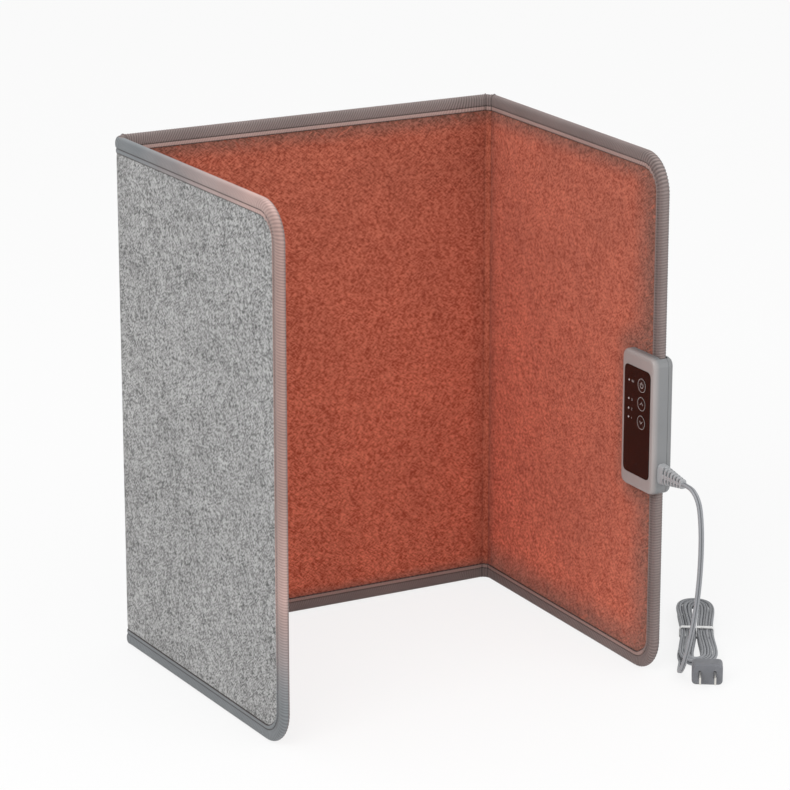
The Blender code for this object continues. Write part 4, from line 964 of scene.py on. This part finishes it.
for crease in CREASES:
    fold = "right_fold" if CREASES[crease].hinge in (R1, R2) else "left_fold"
    for face in ("outer", "inner"):
        piece = crease_felt(f"{crease}_{face}_felt", crease, face == "outer")
        bend(piece)
        sheet(f"{fold}_{face}_felt")
    for where in ("top", "bottom"):
        piece = tape_crease(f"{crease}_{where}_tape", crease, where == "top")
        bend(piece)
        sheet(f"{fold}_{where}_binding")


# ---- Strain relief ----
def strain_relief():
    """The cord's moulded sleeve: a tapering rounded bar, cut by rows of slots past its collar.

    At each step and angle the radius is the core's plus the rest times the largest of the
    collar, the ribs along the bar, and four webs that run lengthwise between the slots.
    """
    start, collar, ribs = 0.2870, 0.0075, 6
    long = EXIT[0] - start
    s = np.linspace(0, long, 170)[:, None]
    angle = np.linspace(0, math.tau, 96, endpoint=False)[None, :]
    share = s / long
    pitch = (long - collar) / ribs
    beat = np.mod(s - collar, pitch) / pitch
    rib = np.maximum(smooth(beat, 0.44, 0.50) - smooth(beat, 0.95, 1.0), s < collar)
    rib = np.maximum(rib, smooth(s, long - 0.0012, long - 0.0008))
    web = smooth(np.abs(np.cos(2 * angle)), 0.93, 0.98)
    full = np.maximum(rib, web * 0.92)
    half_y = 0.0048 + (0.0030 - 0.0048) * share
    half_z = 0.0090 + (0.0038 - 0.0090) * share
    y = (0.0019 + (half_y - 0.0019) * full) * np.sign(np.cos(angle)) * np.abs(np.cos(angle)) ** 0.55
    z = (0.0024 + (half_z - 0.0024) * full) * np.sign(np.sin(angle)) * np.abs(np.sin(angle)) ** 0.55
    grid = place("right", start + s + 0 * angle, EXIT[1] + y, EXIT[2] + z)
    piece = mesh_of("cord_strain_relief", [(grid, True, True)], RELIEF)
    # the slots' mask for their painted shade
    keep(piece, "slot_shade", 1 - full)
    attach(piece, "right_panel")
    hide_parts("strain_relief")


strain_relief()


# ---- Printed signs ----
# Fronts of the prints on the plate and on the keys, and how far a print goes back
PLATE_PRINT = -0.01236
KEY_PRINT = -0.01266
PRINT_DEPTH = 0.00012
KEY_X = 0.26975
LABEL_X = 0.2546


def printed(name, body, lines, front):
    """Flat printed lines on the control box's face: each line of (x, z) is widened to both sides."""
    grids = []
    for line, width in lines:
        line = np.array(line)
        way = np.gradient(line, axis=0)
        way = way / np.linalg.norm(way, axis=1)[:, None]
        aside = np.stack([-way[:, 1], way[:, 0]], 1) * width / 2
        back = front + PRINT_DEPTH
        corners = ((line + aside, front), (line - aside, front), (line - aside, back), (line + aside, back))
        grids.append((np.stack([place("right", p[:, 0], y, p[:, 1]) for p, y in corners], 1), True, True))
    piece = mesh_of(name, grids, PRINT)
    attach(piece, body)


def arc(x, z, wide, high, start, end):
    """Points on an oval, angles in degrees clockwise from the top."""
    t = np.radians(np.linspace(start, end, 33))
    return np.stack([x + wide * np.sin(t), z + high * np.cos(t)], 1)


for key, z, sign in (
    ("power_key", 0.2552, [
        arc(KEY_X, 0.2552, 0.0022, 0.0022, 40, 320), [(KEY_X, 0.2555), (KEY_X, 0.2582)],
    ]),
    ("up_key", 0.2392, [[(KEY_X - 0.0021, 0.2381), (KEY_X, 0.2404), (KEY_X + 0.0021, 0.2381)]]),
    ("down_key", 0.2232, [[(KEY_X - 0.0021, 0.2243), (KEY_X, 0.2220), (KEY_X + 0.0021, 0.2243)]]),
):
    ring = arc(KEY_X, z, 0.00568, 0.00568, 0, 360)
    printed(f"{key}_sign", key, [(ring, 0.00040), *((line, 0.00058) for line in sign)], KEY_PRINT)

# A dash beside the power key's dot, and 3, 2 and 1 beside the others
printed("level_labels", "right_panel", [(line, 0.00034) for line in (
    arc(LABEL_X, 0.2554, 0.00060, 0.00080, 0, 360),
    [(LABEL_X + x, z) for x, z in ((0.0012, 0.2546), (0.0012, 0.2562), (0.0024, 0.2546), (0.0024, 0.2562))],
    arc(LABEL_X, 0.2397, 0.00055, 0.00042, -60, 180),
    arc(LABEL_X, 0.23885, 0.00060, 0.00045, 0, 240),
    np.vstack([
        arc(LABEL_X, 0.2314, 0.00055, 0.00045, -80, 110),
        [(LABEL_X - 0.0006, 0.2302), (LABEL_X + 0.0007, 0.2302)],
    ]),
    [(LABEL_X - 0.0004, 0.2237), (LABEL_X, 0.2241), (LABEL_X, 0.2224)],
)], PLATE_PRINT)


# ---- Floor, lights ----
FLOOR_HALF = 9.0
FLOOR_LEVEL = -0.0002
FLOOR_GLOW = 0.82  # how much of its own white the floor shows
steps = np.linspace(-FLOOR_HALF, FLOOR_HALF, 13)
floor_points = np.stack([*np.meshgrid(steps, steps, indexing="ij"), np.full((13, 13), FLOOR_LEVEL)], -1)
floor_paint = Paint("floor")
floor = mesh_of("floor", [(floor_points[:, ::-1], False, False)], floor_paint.material)
tree = floor_paint.tree
seen = tree.nodes.new("ShaderNodeLightPath")
by_camera, in_gloss = (Wire(floor_paint, seen.outputs[ray]) for ray in ("Is Camera Ray", "Is Glossy Ray"))
glow = tree.nodes.new("ShaderNodeEmission")
matte = tree.nodes.new("ShaderNodeBsdfDiffuse")
matte.inputs["Color"].default_value = (0.86, 0.86, 0.86, 1.0)
mixed = tree.nodes.new("ShaderNodeMixShader")
seen_share = floor_paint.node("ShaderNodeMath", {"operation": "MINIMUM"}, {0: by_camera + in_gloss, 1: 1.0})
share = seen_share * FLOOR_GLOW
tree.links.new(share.socket, mixed.inputs[0])
tree.links.new(matte.outputs[0], mixed.inputs[1])
tree.links.new(glow.outputs[0], mixed.inputs[2])
tree.links.new(mixed.outputs[0], tree.nodes["Material Output"].inputs[0])

# The camera sees a white background, and the part is lit by a slightly softer one
world = bpy.data.worlds.new("world")
bpy.context.scene.world = world
world.use_nodes = True
sky = world.node_tree
path = sky.nodes.new("ShaderNodeLightPath")
pick = sky.nodes.new("ShaderNodeMixShader")
sky.links.new(path.outputs["Is Camera Ray"], pick.inputs[0])
lighting, shown = sky.nodes["Background"], sky.nodes.new("ShaderNodeBackground")
for place_in, back, strength in ((1, lighting, 0.80), (2, shown, 1.0)):
    back.inputs[0].default_value = (1.0, 1.0, 1.0, 1.0)
    back.inputs[1].default_value = strength
    sky.links.new(back.outputs[0], pick.inputs[place_in])
sky.links.new(pick.outputs[0], sky.nodes["World Output"].inputs[0])


def lamp(name, spot, aim, size, power):
    """A square area light at spot that faces aim."""
    data = bpy.data.lights.new(name, "AREA")
    data.size = size
    data.energy = power
    item = bpy.data.objects.new(name, data)
    back = np.array(spot, float) - np.array(aim, float)
    back = back / np.linalg.norm(back)
    right = np.cross((0, 0, 1.0), back)
    right = right / np.linalg.norm(right)
    held = np.eye(4)
    held[:3, 0], held[:3, 1], held[:3, 2], held[:3, 3] = right, np.cross(back, right), back, spot
    item.matrix_world = Matrix(held.tolist())
    bpy.context.scene.collection.objects.link(item)


lamp("key", (-2.2, -1.6, 2.2), (0.0, 0.0, 0.2), 2.2, 57.0)
lamp("fill", (1.4, -2.8, 1.6), (0.0, 0.0, 0.2), 2.4, 22.0)
bpy.context.scene.view_settings.view_transform = "Standard"
